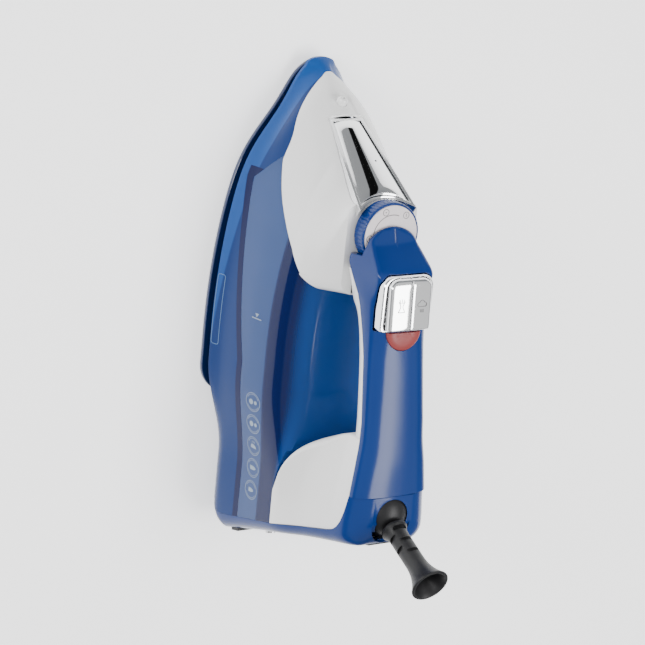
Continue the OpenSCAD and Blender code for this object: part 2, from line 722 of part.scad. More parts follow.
module piston(side) {
  rod(pump_s, side * pump_y, 108.2, 131.4, piston_r);
  rod(pump_s, side * pump_y, flange_z, flange_z + 1, 5);
}
module spray_piston() color(white) piston(1);
module steam_piston() color(white) piston(-1);

module pump(side) difference() {
  union() {
    rod(pump_s, side * pump_y, pump_low, pump_top, 6.2);
    rod(pump_s, side * pump_y, pump_low - 5, pump_low, 2.4);
  }
  rod(pump_s, side * pump_y, 104, pump_top + 1, piston_r + 0.06);
  rod(pump_s, side * pump_y, pump_low - 6, 105, 1.2);
}
module spray_pump() color(white) pump(1);
module steam_pump() color(white) pump(-1);

spring_low = pump_top + 0.1;
spring_top = flange_z - 0.1;
module spring(side) {
  steps = 14 * spring_turns;
  rise = (spring_top - spring_low - 2 * spring_wire) / steps;
  translate([X(pump_s), side * pump_y, spring_low + spring_wire])
    skin([for (i = [steps : -1 : 0]) let (a = 360 * i / 14)
      [for (j = [0 : 5]) let (r = spring_r + spring_wire * cos(60 * j))
        [r * cos(a), r * sin(a), i * rise + spring_wire * sin(60 * j)]]]);
}
module spray_spring() color(steel) spring(1);
module steam_spring() color(steel) spring(-1);

module spray_hose() color(white)
  pipe([[pump_s, pump_y, 93.9], [pump_s, pump_y, 90], [103, 15, 82], [92, 17.5, 76], [72, 14.5, 62], [50, 13.5, 45],
        [36, 10, 33], [29, 0, 32]], 1.6);
module steam_hose() color(white)
  pipe([[pump_s, -pump_y, 93.9], [pump_s, -pump_y, 86], [104, -14, 80], [92, -12, 72]], 1.6);

module indicator_lens() color([0.75, 0.25, 0.25, 0.8]) intersection() {
  rod(lens_s, 0, 127, 133, lens_r);
  translate([X(lens_s + 30), -30, 100]) cube([30, 60, 60]);
}
module indicator_lamp() color([0.9, 0.5, 0.2]) {
  rod(143, 0, 117, 123, 2.5);
  translate([X(143), 0, 123]) sphere(r = 2.5);
}

// ---- wiring and cord outlet ----------------------------------------------

module terminal_block() color(white) difference() {
  translate([X(262), -12, 88]) cube([16, 24, 12]);
  for (y = [-7, 7]) rod(254, y, 90, 101, 2);
}
module lead_wires() color([0.7, 0.2, 0.15]) for (side = [-1, 1])
  pipe([[262.1, side * 7, 93], [268, side * 8, 89], [278.4, side * 12, 74], [287.4, side * 14, 40], [283, side * 16, 33.5],
        [194, side * element_y, 33.5], [element_end, side * element_y, 30.7]], 1.2);

module cord_clamp() color(white) difference() {
  translate([X(256), -11, 103]) cube([10, 22, 8]);
  translate([X(251), 0, 100]) cylinder(h = 20, r = 3.8);
}

retainer_r = ball_r + 1.4;
module swivel_retainer() color(black) on_guard() difference() {
  sphere(r = retainer_r, $fn = 64);
  sphere(r = ball_r + 0.4, $fn = 64);
  translate([-30, -30, 2]) cube([60, 60, 40]);
  translate([-30, -30, -40]) cube([60, 60, 32]);
}

stub_r = 5.4;
module swivel_ball() color(black) on_guard() difference() {
  sphere(r = ball_r, $fn = 64);
  translate([0, 0, -40]) cylinder(h = 80, r = stub_r + 0.07);
  translate([-30, -30, -49]) cube([60, 60, 40]);
}

mouth_r = 12;
bore_r = 3.8;
module cord_guard() color(black) on_guard() difference() {
  union() {
    translate([0, 0, -9.4]) cylinder(h = 30, r = stub_r);
    translate([0, 0, -11.4]) cylinder(h = 2.1, r = 8);
    rotate_extrude() polygon(concat([[0, 16.4], [6.8, 16.4], [6.8, 20], [6.2, 24]],
      [for (i = [0 : 8]) let (t = i / 8) [6.2 + (mouth_r - 6.2) * pow(t, 2.2), mix(44, guard_len, t)]],
      [[mouth_r - 1, guard_len], [0, guard_len]]));
  }
  translate([0, 0, -20]) cylinder(h = 100, r = bore_r);
  rotate_extrude() polygon(concat([[0, 46]],
    [for (i = [0 : 8]) let (t = i / 8) [bore_r + (mouth_r - 1.8 - bore_r) * pow(t, 2), mix(46, guard_len, t)]],
    [[mouth_r - 1.8, guard_len + 1], [0, guard_len + 1]]));
  for (i = [0 : 4]) translate([0, 0, 20.5 + 4.6 * i]) rotate([0, 0, 90 * (i % 2)])
    for (side = [-1, 1]) translate([side * 7.8, 0, 0]) cube([6.4, 9, 1.9], center = true);
}

soleplate();
steam_chamber_cover();
heating_element();
thermostat();
thermal_fuse();
heat_shield();
skirt();
water_tank();
front_hood();
spray_nozzle();
fill_frame();
fill_door();
fill_plug();
fill_door_pin();
fill_chute();
dial_ring();
dial_disc();
dial_shaft();
valve_cam();
valve_needle();
valve_seat();
handle_top_shell();
handle_lower_shell();
rear_side_shell();
rear_cover();
heel_feet();
button_bezel();
spray_button();
steam_button();
spray_piston();
steam_piston();
spray_pump();
steam_pump();
spray_spring();
steam_spring();
spray_hose();
steam_hose();
indicator_lens();
indicator_lamp();
terminal_block();
lead_wires();
cord_clamp();
swivel_ball();
swivel_retainer();
cord_guard();
heel_screws();
sole_screws();
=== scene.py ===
import json
import math

import bmesh
import bpy
import numpy as np
from mathutils import Matrix, Vector


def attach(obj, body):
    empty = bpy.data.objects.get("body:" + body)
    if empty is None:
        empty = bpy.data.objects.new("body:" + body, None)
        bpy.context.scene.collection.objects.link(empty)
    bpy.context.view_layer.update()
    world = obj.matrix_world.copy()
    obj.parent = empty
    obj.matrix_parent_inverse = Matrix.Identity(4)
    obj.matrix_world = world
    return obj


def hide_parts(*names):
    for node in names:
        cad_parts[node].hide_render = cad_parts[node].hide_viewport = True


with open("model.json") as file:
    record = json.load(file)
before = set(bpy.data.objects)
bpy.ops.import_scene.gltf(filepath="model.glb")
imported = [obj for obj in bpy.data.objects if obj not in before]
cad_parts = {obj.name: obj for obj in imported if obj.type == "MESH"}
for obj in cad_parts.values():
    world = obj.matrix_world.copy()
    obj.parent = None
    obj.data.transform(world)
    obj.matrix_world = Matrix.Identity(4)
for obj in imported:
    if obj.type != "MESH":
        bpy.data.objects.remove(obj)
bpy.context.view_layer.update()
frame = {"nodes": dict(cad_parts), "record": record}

MM = 0.001
FINE = 2      # how finely the curved shells are divided
NOSE_X = 107.0                     # stations s run back from the sole's tip: x = NOSE_X - s
WALL = 2.4
DECK = 96.0
TANK_TOP = 81.0
SEAM = 0.1


# ---- camera, floor and light ---------------------------------------------

RIGHT = Vector((0.09657, -0.84805, 0.52105))
UP = Vector((0.95218, -0.07375, -0.29652))
BACK = Vector((0.28988, 0.52476, 0.80037))
TARGET = Vector((-0.05222, 0.0, 0.04260))
DISTANCE = 1.444


def basis(right, up, back, place):
    m = Matrix((right, up, back)).transposed().to_4x4()
    m.translation = place
    return m


def make_camera():
    data = bpy.data.cameras.new("camera")
    data.lens = 128.95
    data.sensor_width = 36
    cam = bpy.data.objects.new("camera", data)
    cam.matrix_world = basis(RIGHT, UP, BACK, TARGET + BACK * DISTANCE)
    bpy.context.collection.objects.link(cam)
    bpy.context.scene.camera = cam


def area_light(name, place, aim, width, height, watts, tint=(1, 1, 1)):
    data = bpy.data.lights.new(name, "AREA")
    data.shape = "RECTANGLE"
    data.size, data.size_y = width, height
    data.energy = watts
    data.color = tint
    light = bpy.data.objects.new(name, data)
    light.location = place
    light.rotation_mode = "QUATERNION"
    light.rotation_quaternion = (Vector(aim) - Vector(place)).to_track_quat("-Z", "Y")
    bpy.context.collection.objects.link(light)
    return light


# ---- materials -----------------------------------------------------------

def wired(tree, kind, operation, *inputs):
    """A maths node fed with sockets or plain values; gives back its value."""
    n = tree.nodes.new(kind)
    n.operation = operation
    for socket, v in zip(n.inputs, inputs):
        if isinstance(v, bpy.types.NodeSocket):
            tree.links.new(v, socket)
        else:
            socket.default_value = v
    return n.outputs["Value"]


def ramp(tree, value, *stops):
    """Colours between stops of (position, colour)."""
    n = tree.nodes.new("ShaderNodeValToRGB")
    row = n.color_ramp.elements
    for i, (place, colour) in enumerate(stops):
        stop = row[i] if i < 2 else row.new(place)
        stop.position, stop.color = place, (*colour, 1)
    tree.links.new(value, n.inputs["Fac"])
    return n.outputs["Color"]


def material(name, colour, second, rough, bump, scale, metal=0.0, coat=0.0, glass=0.0, ior=1.5, edge=0.45,
             specular=0.5):
    """A procedural material: two close tones, a range of roughness and a fine relief, all from noise."""
    m = bpy.data.materials.new(name)
    m.use_nodes = True
    tree = m.node_tree
    tree.nodes.clear()
    add, link = tree.nodes.new, tree.links.new
    out = add("ShaderNodeOutputMaterial")
    shader = add("ShaderNodeBsdfPrincipled")
    link(shader.outputs["BSDF"], out.inputs["Surface"])
    where = add("ShaderNodeTexCoord")
    broad = add("ShaderNodeTexNoise")
    broad.inputs["Scale"].default_value = 14.0
    broad.inputs["Detail"].default_value = 3.0
    fine = add("ShaderNodeTexNoise")
    fine.inputs["Scale"].default_value = scale
    fine.inputs["Detail"].default_value = 4.0
    for n in (broad, fine):
        link(where.outputs["Object"], n.inputs["Vector"])
    link(ramp(tree, broad.outputs["Fac"], (0.3, colour), (0.7, second)), shader.inputs["Base Color"])
    span = add("ShaderNodeMapRange")
    span.inputs["To Min"].default_value, span.inputs["To Max"].default_value = rough
    link(fine.outputs["Fac"], span.inputs["Value"])
    link(span.outputs["Result"], shader.inputs["Roughness"])
    relief = add("ShaderNodeBump")
    relief.inputs["Strength"].default_value = bump
    relief.inputs["Distance"].default_value = 0.0002
    link(fine.outputs["Fac"], relief.inputs["Height"])
    if edge:
        rounding = add("ShaderNodeBevel")
        rounding.samples = 4
        rounding.inputs["Radius"].default_value = edge * MM
        link(rounding.outputs["Normal"], relief.inputs["Normal"])
    link(relief.outputs["Normal"], shader.inputs["Normal"])
    shader.inputs["Metallic"].default_value = metal
    shader.inputs["Coat Weight"].default_value = coat
    shader.inputs["Coat Roughness"].default_value = 0.03
    shader.inputs["Transmission Weight"].default_value = glass
    shader.inputs["IOR"].default_value = ior
    shader.inputs["Specular IOR Level"].default_value = specular
    return m


# name: two tones, range of roughness, relief, scale of the relief, other settings
LOOKS = {
    "blue_coat": ((0.002, 0.014, 0.070), (0.003, 0.018, 0.085), (0.16, 0.24), 0.04, 500, dict(coat=0.5)),
    "blue_plastic": ((0.002, 0.024, 0.140), (0.003, 0.028, 0.155), (0.14, 0.20), 0.02, 420, dict(ior=1.38)),
    # the skirt's base tone is a painted reflection that makes its lower chamfer pale; painted bands darken
    # the skirt above it
    "skirt_blue": ((0.008, 0.060, 0.240), (0.010, 0.066, 0.260), (0.20, 0.28), 0.02, 420,
                   dict(specular=0.16)),
    # the tank's base tone is a painted reflection that keeps its side pale; painted bands add the shaded
    # shoulder and the bright top
    "tank_blue": ((0.040, 0.095, 0.290), (0.046, 0.105, 0.310), (0.03, 0.06), 0.01, 260,
                  dict(glass=0.45, ior=1.36, edge=0.3)),
    "white_plastic": ((0.80, 0.80, 0.795), (0.83, 0.83, 0.825), (0.18, 0.26), 0.02, 380, dict(coat=0.3)),
    "chrome": ((0.86, 0.87, 0.88), (0.89, 0.895, 0.90), (0.03, 0.06), 0.01, 500, dict(metal=1.0, edge=0.6)),
    "steel": ((0.50, 0.51, 0.52), (0.58, 0.58, 0.59), (0.22, 0.36), 0.15, 700, dict(metal=1.0, edge=0.2)),
    "brass": ((0.62, 0.43, 0.18), (0.70, 0.50, 0.22), (0.22, 0.34), 0.12, 600, dict(metal=1.0, edge=0.2)),
    "black_plastic": ((0.007, 0.007, 0.008), (0.011, 0.011, 0.012), (0.36, 0.50), 0.30, 900,
                      dict(specular=0.3)),
    "rubber": ((0.016, 0.016, 0.017), (0.024, 0.024, 0.025), (0.55, 0.72), 0.35, 800, {}),
    "grey_print": ((0.66, 0.60, 0.62), (0.70, 0.645, 0.66), (0.22, 0.30), 0.02, 500, dict(coat=0.3, edge=0)),
    "red_lens": ((0.27, 0.045, 0.045), (0.31, 0.055, 0.052), (0.30, 0.38), 0.05, 300,
                 dict(glass=0.15, ior=1.40, edge=0.3)),
    "amber": ((0.85, 0.40, 0.08), (0.90, 0.46, 0.10), (0.15, 0.22), 0.02, 300, dict(edge=0)),
    "red_wire": ((0.45, 0.05, 0.04), (0.50, 0.06, 0.05), (0.35, 0.5), 0.1, 500, dict(edge=0)),
    "print_pale": ((0.20, 0.26, 0.33), (0.24, 0.30, 0.37), (0.3, 0.4), 0.05, 700, dict(edge=0)),
    "skirt_outline_tone": ((0.045, 0.12, 0.27), (0.055, 0.14, 0.30), (0.3, 0.4), 0.05, 700, dict(edge=0)),
    "print_dark": ((0.075, 0.07, 0.075), (0.10, 0.095, 0.10), (0.35, 0.45), 0.05, 700, dict(edge=0)),
    # near black, for the fill door's small dot and, in the bezel's gap, as painted shade
    "slot_black": ((0.004, 0.004, 0.004), (0.006, 0.006, 0.006), (0.5, 0.6), 0.1, 700, dict(edge=0)),
}
MATERIALS = {name: material(name, *row[:5], **row[5]) for name, row in LOOKS.items()}


def painted_light_band(look, colour, low, rise, x0, x1, soft=0.8, stop=200.0):
    """Paints light or shade into a material: tints it above the height low + rise * x, with x held to x0..x1,
    up to x = stop (all in mm).
    """
    tree = MATERIALS[look].node_tree
    link = tree.links.new

    def maths(operation, a, b):
        return wired(tree, "ShaderNodeMath", operation, a, b)
    where = tree.nodes.new("ShaderNodeTexCoord")
    split = tree.nodes.new("ShaderNodeSeparateXYZ")
    link(where.outputs["Object"], split.inputs["Vector"])
    along = maths("MINIMUM", maths("MAXIMUM", split.outputs["X"], x0 * MM), x1 * MM)
    edge = maths("ADD", maths("MULTIPLY", along, rise), low * MM)
    span = tree.nodes.new("ShaderNodeMapRange")
    span.interpolation_type = "SMOOTHSTEP"
    link(maths("SUBTRACT", split.outputs["Z"], edge), span.inputs["Value"])
    span.inputs["From Min"].default_value, span.inputs["From Max"].default_value = -soft * MM, soft * MM
    base = tree.nodes["Principled BSDF"].inputs["Base Color"]
    blend = tree.nodes.new("ShaderNodeMix")
    blend.data_type = "RGBA"
    link(maths("MULTIPLY", span.outputs["Result"], maths("LESS_THAN", split.outputs["X"], stop * MM)),
         blend.inputs["Factor"])
    link(base.links[0].from_socket, blend.inputs["A"])
    blend.inputs["B"].default_value = (*colour, 1)
    link(blend.outputs["Result"], base)


# painted light on the skirt: its lighter base tone is a painted reflection left on the lower chamfer, the
# face above is tinted to a darker blue, and painted shade darkens the strip under the tank
painted_light_band("skirt_blue", (0.001, 0.024, 0.125), 16.9, 0.10, -100, 60)
painted_light_band("skirt_blue", (0.001, 0.005, 0.050), 22.1, -0.2, -73, 38, 0.4, 44)
# painted light on the tank: a painted reflection keeps its side pale, painted shade darkens its shoulder and
# a painted highlight brightens the top
painted_light_band("tank_blue", (0.001, 0.010, 0.095), 61.5, 0, -1, 1, 0.8)
painted_light_band("tank_blue", (0.000, 0.070, 0.330), 77.0, 0, -1, 1, 2.4)


# ---- number helpers ------------------------------------------------------

def lookup(rows):
    """A smooth monotone curve through [x, y] rows."""
    x, y = (np.array(c, float) for c in zip(*rows))
    h, d = np.diff(x), np.diff(y) / np.diff(x)
    m = np.zeros(len(x))
    m[0], m[-1] = d[0], d[-1]
    for i in range(1, len(x) - 1):
        if d[i - 1] * d[i] > 0:
            a, b = 2 * h[i] + h[i - 1], h[i] + 2 * h[i - 1]
            m[i] = (a + b) / (a / d[i - 1] + b / d[i])

    def at(v):
        v = min(max(v, x[0]), x[-1])
        i = int(min(np.searchsorted(x, v, "right") - 1, len(h) - 1))
        t = (v - x[i]) / h[i]
        return (y[i] * (1 + 2 * t) * (1 - t) ** 2 + h[i] * m[i] * t * (1 - t) ** 2
                + y[i + 1] * t * t * (3 - 2 * t) + h[i] * m[i + 1] * t * t * (t - 1))
    return at


def linear(rows):
    xs, ys = zip(*rows)
    return lambda v: float(np.interp(v, xs, ys))


def mix(a, b, t):
    return a + (b - a) * t


def clamp01(t):
    return min(max(t, 0.0), 1.0)


def ease(a, b, v):
    t = clamp01((v - a) / (b - a))
    return t * t * (3 - 2 * t)


def cosd(deg):
    return math.cos(math.radians(deg))


def sind(deg):
    return math.sin(math.radians(deg))


def X(s):
    return NOSE_X - s


def spread(a, b, step, inner=()):
    """Values from a to b about a step apart, with the inner values among them."""
    stops = sorted({a, b, *[v for v in inner if a < v < b]})
    out = [stops[0]]
    for p, q in zip(stops, stops[1:]):
        n = max(1, round((q - p) / step))
        out += [p + (q - p) * i / n for i in range(1, n + 1)]
    return out


# ---- mesh helpers --------------------------------------------------------

def raw(name, verts, faces):
    mesh = bpy.data.meshes.new(name)
    mesh.from_pydata([tuple(float(c) * MM for c in v) for v in verts], [], faces)
    mesh.validate()
    o = bpy.data.objects.new(name, mesh)
    bpy.context.collection.objects.link(o)
    return o


def loft(name, rings):
    """A closed skin through rings of points that all run the same way round."""
    n, m = len(rings[0]), len(rings)
    verts = [p for r in rings for p in r]
    faces = [(i * n + j, (i + 1) * n + j, (i + 1) * n + (j + 1) % n, i * n + (j + 1) % n)
             for i in range(m - 1) for j in range(n)]
    faces += [tuple(range(n)), tuple((m - 1) * n + j for j in reversed(range(n)))]
    o = raw(name, verts, faces)
    outward(o.data)
    return o


def outward(mesh):
    """Turns every face to the outside of a closed mesh."""
    bm = bmesh.new()
    bm.from_mesh(mesh)
    bmesh.ops.recalc_face_normals(bm, faces=bm.faces)
    bm.to_mesh(mesh)
    bm.free()


def both_sides(half, z):
    """A level ring from a half outline of (s, y) points, tip first, rear last."""
    return [(X(s), y, z) for s, y in half] + [(X(s), -y, z) for s, y in reversed(half[1:-1])]


def prism(name, outline, frame_at):
    """A solid between two ends of an outline: frame_at(u, v, end) gives each point."""
    return loft(name, [[frame_at(u, v, e) for u, v in outline] for e in (0, 1)])


def side_slab(points, width=160.0):
    return prism("slab", points, lambda s, z, e: (X(s), width * (e - 0.5), z))


def plan_plate(half, z0, z1):
    return loft("plate", [both_sides(half, z0), both_sides(half, z1)])


def block(lo, hi):
    return prism("block", [(lo[0], lo[1]), (hi[0], lo[1]), (hi[0], hi[1]), (lo[0], hi[1])],
                 lambda u, v, e: (u, v, hi[2] if e else lo[2]))


def turned(name, profile, count=96):
    """A solid of revolution about Z from an open profile of (r, z) that starts and ends on the axis."""
    body = profile[1:-1]
    verts = [(0, 0, profile[0][1])]
    angles = [math.tau * j / count for j in range(count)]
    for r, z in body:
        verts += [(r * math.cos(a), r * math.sin(a), z) for a in angles]
    verts.append((0, 0, profile[-1][1]))
    last = len(verts) - 1
    faces = [(0, 1 + (j + 1) % count, 1 + j) for j in range(count)]
    for i in range(len(body) - 1):
        a, b = 1 + i * count, 1 + (i + 1) * count
        faces += [(a + j, a + (j + 1) % count, b + (j + 1) % count, b + j) for j in range(count)]
    a = 1 + (len(body) - 1) * count
    faces += [(a + j, a + (j + 1) % count, last) for j in range(count)]
    o = raw(name, verts, faces)
    outward(o.data)
    return o


def can(r, z0, z1, count=64):
    return turned("can", [(0, z0), (r, z0), (r, z1), (0, z1)], count)


def rod(s, y, z0, z1, r, count=64):
    return placed(can(r, z0, z1, count), Matrix.Translation((X(s) * MM, y * MM, 0)))


def ball(r, count=96):
    arc = [math.pi * i / 48 for i in range(49)]
    return turned("ball", [(r * math.sin(a), -r * math.cos(a)) for a in arc], count)


def placed(o, matrix):
    o.data.transform(matrix)
    return o


def shift(x, y, z):
    return Matrix.Translation((x * MM, y * MM, z * MM))


def turn(deg, axis):
    return Matrix.Rotation(math.radians(deg), 4, axis)


def combine(target, operation, *tools):
    """Applies closed solids to target one after another and removes them."""
    for tool in tools:
        mod = target.modifiers.new("combine", "BOOLEAN")
        mod.operation = operation
        mod.solver = "MANIFOLD"
        mod.object = tool
        bpy.context.view_layer.update()
        mesh = bpy.data.meshes.new_from_object(target.evaluated_get(bpy.context.evaluated_depsgraph_get()))
        target.modifiers.remove(mod)
        target.data = mesh
        bpy.data.objects.remove(tool)
        if not mesh.polygons:
            raise RuntimeError(f"nothing is left of {target.name}")
    return target


def cut(target, *tools):
    return combine(target, "DIFFERENCE", *tools)


def keep(target, *tools):
    return combine(target, "INTERSECT", *tools)


def join(target, *tools):
    return combine(target, "UNION", *tools)


def finish(o, name, slot, body, nodes=(), look=None, sharp=32):
    """Names a piece, shades it, gives it its material and says what it rides on and stands for."""
    bm = bmesh.new()
    bm.from_mesh(o.data)
    bmesh.ops.remove_doubles(bm, verts=bm.verts, dist=1e-7)
    bmesh.ops.dissolve_degenerate(bm, edges=bm.edges, dist=1e-7)
    bm.to_mesh(o.data)
    bm.free()
    for p in o.data.polygons:
        p.use_smooth = True
    o.data.set_sharp_from_angle(angle=math.radians(sharp))
    o.name = name
    o.data.name = name
    o.data.materials.clear()
    o.data.materials.append(MATERIALS[look or slot])
    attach(o, body)
    if nodes:
        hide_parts(*nodes)
    return o


# ---- soleplate outline ---------------------------------------------------

SOLE_LEN, SOLE_W, SOLE_CORNER, TIP_PINCH = 214.0, 61.5, 20.0, 9.0


def pinch(s):
    return TIP_PINCH * math.exp(-(((s - 24) / 26) ** 2)) * ease(-3, 3, s)


def sole_w(s, inset=0.0):
    run, w = 172 - inset * 0.8, SOLE_W - inset
    t = clamp01((s - inset * 1.6) / run)
    return max(0.0, w * math.sqrt(1 - (1 - t) ** 2) - pinch(s))


def sole_half(inset, n=34):
    s0, s1, r, w = inset * 1.6, SOLE_LEN - inset, SOLE_CORNER - inset / 2, SOLE_W - inset
    n *= FINE
    half = [(s0, 0.0)]
    for i in range(1, n + 1):
        s = s0 + (s1 - r - s0) * (i / n) ** 1.7
        half.append((s, max(sole_w(s, inset), 0.35 * min(1, i / 3))))
    half += [(s1 - r + r * math.sin(math.pi / 2 * i / 12), w - r + r * math.cos(math.pi / 2 * i / 12))
             for i in range(1, 13)]
    return half + [(s1, 0.0)]


# ---- body surfaces -------------------------------------------------------

NOSE_RISE, FULL_S, HOOD_REAR = 0.797, 169.0, 124.0
FOOT_S, FOOT_Z, SLOPE, ARCH, BAND = 299.0, 24.0, 0.254, 3.0, 10.5

mid_w = lookup([(10, 60.5), (20, 57.5), (32, 56.6), (44, 55.3), (56, 52.8), (66, 49.5), (73, 45), (78, 37),
                (TANK_TOP, 24)])
rear_w = lookup([(10, 47.5), (14, 49.5), (20, 50.5), (44, 48.8), (66, 47), (76, 46), (100, 38), (120, 32),
                 (131, 28.5), (135, 25), (138, 20), (140, 14)])
hood_w = lookup([(10, 60.5), (20, 57.5), (32, 56.6), (44, 55.3), (56, 52.8), (66, 49.5), (73, 44.5), (80, 38),
                 (88, 31), (DECK, 24.5)])


def nose_s(z):
    return -3 + max(0.0, z - 12) * NOSE_RISE


def tip_slim(s, z, deg):
    return pinch(s) * (1 - ease(12, 34, z)) * ease(0, 9, deg)


def hood_run(z):
    full = FULL_S - nose_s(z)
    return full if z < 66 else mix(FULL_S - nose_s(66), 10, (z - 66) / (DECK - 66))


def heel_s(z):
    if z < FOOT_Z:
        return FOOT_S - 0.036 * (FOOT_Z - z) ** 2
    return (FOOT_S - SLOPE * (z - FOOT_Z) - ARCH * math.sin(math.pi * clamp01((z - FOOT_Z) / 114))
            - 0.9 * max(0.0, z - 135) ** 1.4)


def cover_s(z):
    return FOOT_S - SLOPE * max(0.0, z - FOOT_Z) - BAND


def nose_arc(z, w, s0, run, stop, steps):
    out = [(s0, 0.0)]
    for i in range(1, steps + 1):
        deg = stop * i / steps
        a = math.radians(deg)
        s = s0 + run * (1 - math.cos(a))
        out.append((s, w * math.sin(a) - tip_slim(s, z, deg)))
    return out


def body_half(z, inset):
    w, wr, r, s0 = mid_w(z) - inset, rear_w(z) - inset, 9 - inset, nose_s(z) + inset * 1.3
    s1 = heel_s(z) - inset - r
    half = nose_arc(z, w, s0, FULL_S - s0, 90, 40 * FINE)
    n = 20 * FINE
    stations = [mix(FULL_S, s1, i / n) for i in range(1, n + 1)]
    half += [(s, mix(w, wr, ease(188, 250, s))) for s in stations]
    half += [(s1 + r * sind(90 * i / 14), wr - r + r * cosd(90 * i / 14))
             for i in range(1, 14)]
    return half + [(s1 + r, wr - r), (s1 + r, 0.0)]


def hood_half(z, inset):
    w, s0, run, s1 = hood_w(z) - inset, nose_s(z) + inset * 1.3, hood_run(z), HOOD_REAR - inset
    stop = math.degrees(math.acos(1 - (s1 - s0) / run)) if s0 + run > s1 else 90.0
    half = nose_arc(z, w, s0, run, stop, 48 * FINE)
    r = 9.0 - inset
    half = [(min(s, s1 - r - 0.02 * (48 * FINE - i)), y) for i, (s, y) in enumerate(half)]
    edge = half[-1][1]
    last = half[-1][0]
    half += [(mix(last, s1 - r, i / 4), edge) for i in range(1, 5)]
    half += [(s1 - r + r * sind(7.5 * i), edge - r + r * cosd(7.5 * i))
             for i in range(1, 13)]
    return half + [(s1, 0.0)]


def heel_half(z, inset):
    wr, s0 = rear_w(z) - inset, 225.0
    r = min(9.0, wr * 0.6) - inset / 2
    s1 = heel_s(z) - inset - r
    half = [(s0, 0.0)]
    n = 14 * FINE
    stations = [mix(s0, s1, i / n) for i in range(n + 1)]
    half += [(s, wr * mix(0.94, 1, ease(236, 262, s))) for s in stations]
    half += [(s1 + r * sind(90 * i / 16), wr - r + r * cosd(90 * i / 16))
             for i in range(1, 17)]
    return half + [(s1 + r, 0.0)]


leg_s = lookup([(70, 258), (76, 247), (79, 235), (83, 226.5), (88, 220.5), (95, 215), (104, 209.8),
                (112, 206), (118, 204), (124, 203.5), (135, 203.5)])
leg_w = lookup([(70, 47.0), (76, 46.2), (79, 44.9), (83, 41.8), (88, 37.8), (95, 32.8), (104, 27.8),
                (112, 23.8), (118, 22), (135, 22)])


def leg_half(z, inset):
    w, wr, s0, s1 = leg_w(z) - inset, rear_w(z) - inset, leg_s(z) + inset, heel_s(z) - inset
    r = mix(7.0, 2.0, ease(100, 116, z))
    half = [(s0, 0.0)]
    half += [(s0 + r - r * cosd(90 * i / 12), w - r + r * sind(90 * i / 12))
             for i in range(13)]
    n = 12 * FINE
    half += [(mix(s0 + r, s1 - 6, i / n), mix(w, wr, i / n * (s1 - 6 - s0 - r) / (s1 - s0 - r)))
             for i in range(1, n + 1)]
    return half + [(s1, wr - 6), (s1, 0.0)]


def level_solid(half_at, inset, z0, z1, step=1.6, inner=(14, 20, 66)):
    heights = spread(z0, z1, step / FINE * 1.5, inner)
    return loft("shell", [both_sides(half_at(z, inset), z) for z in heights])


# ---- handle surface ------------------------------------------------------

handle_top = lookup([(79, 109.8), (84, 111.8), (88, 113.6), (92, 117.4), (97, 123), (102, 128.2), (105, 130),
                     (125, 130.5), (150, 131.5), (175, 134.5), (203, 138), (222, 139.6), (240, 140)])
handle_low = lookup([(79, 94), (118, 94), (124, 95.6), (128, 101), (134, 105), (150, 108), (175, 112),
                     (203, 115), (222, 117), (240, 118)])
handle_w = lookup([(79, 3), (80, 8.5), (82, 13), (84, 16), (86.5, 18.3), (90, 19.8), (96, 21.5), (104, 23),
                   (118, 22.5), (125, 21.5), (150, 20.5), (175, 21), (203, 22), (222, 24.5), (240, 26.8)])
split_z = linear([(97, DECK), (118, 112), (154, 121.5), (194, 128.5), (222, 130.5), (240, 131)])


def handle_ring(s, inset):
    w, top, low = max(0.6, handle_w(s) - inset), handle_top(s) - inset, handle_low(s) + inset
    zc = max(min(split_z(s), top - 5), low + 6)
    boxy = 1 - ease(100, 126, s)
    ring = []
    count = 48 * FINE
    for i in range(count):
        turn_by = 4 * i / count
        c, d = math.cos(math.pi / 2 * turn_by), math.sin(math.pi / 2 * turn_by)
        y = w * math.copysign(abs(c) ** 0.75, c)
        z = zc + (top - zc if d > 0 else zc - low) * math.copysign(abs(d) ** 0.8, d)
        if d > 0:
            v, u = slanted(1 - abs(1 - turn_by), w, top - zc)
            y, z = mix(y, math.copysign(v, c), boxy), mix(z, zc + u, boxy)
        ring.append((X(s), y, z))
    return ring


def slanted(q, w, h, lean=0.86, r=3.4, crown=0.9):
    """A point of a slant-sided section with round shoulders: q = 0 at the side's foot, 1 at the crest."""
    r = min(r, h * 0.6, w * 0.5)
    top_w = w * mix(1, lean, min(1.0, h / 14))
    if q < 0.4:
        t = q / 0.4
        return mix(w, top_w, t), (h - crown - r) * t
    if q < 0.7:
        a = math.radians(90 * (q - 0.4) / 0.3)
        return top_w - r + r * math.cos(a), h - crown - r + r * math.sin(a)
    t = (1 - q) / 0.3
    return (top_w - r) * t, h - crown * t * t


def handle_solid(inset, s0, s1):
    stations = spread(s0, s1, 2.4 / FINE, (80, 82, 86, 96, 101, 105))
    return loft("handle", [handle_ring(s, inset) for s in stations])


# ---- side views of the mouldings' edges ----------------------------------

def dense(points, step=2.0):
    """A smooth curve through points, as closely spaced points."""
    p = [np.array(q, float) for q in points]
    out = []
    for i in range(len(p) - 1):
        a, b, c, d = p[max(0, i - 1)], p[i], p[i + 1], p[min(len(p) - 1, i + 2)]
        n = max(1, round(float(np.linalg.norm(c - b)) / step))
        for k in range(n):
            t = k / n
            out.append(tuple(0.5 * (2 * b + (c - a) * t + (2 * a - 5 * b + 4 * c - d) * t * t
                                    + (3 * b - a - 3 * c + d) * t ** 3)))
    return out + [tuple(p[-1])]


TANK_NOSE = (52.0, 37.1)
HOOD_EDGE = dense([(-8, 16), (2, 20), (10, 23.5), (22, 27.5), (40, 35.5), TANK_NOSE, (57, 38.4), (77, 48.8),
                   (107, 69.4), (124.4, 82.5)], 3.0)
TANK_LOW = [(69, 20), (107, 27.6), (180, 42.2)]
PATCH_Z = 76.0


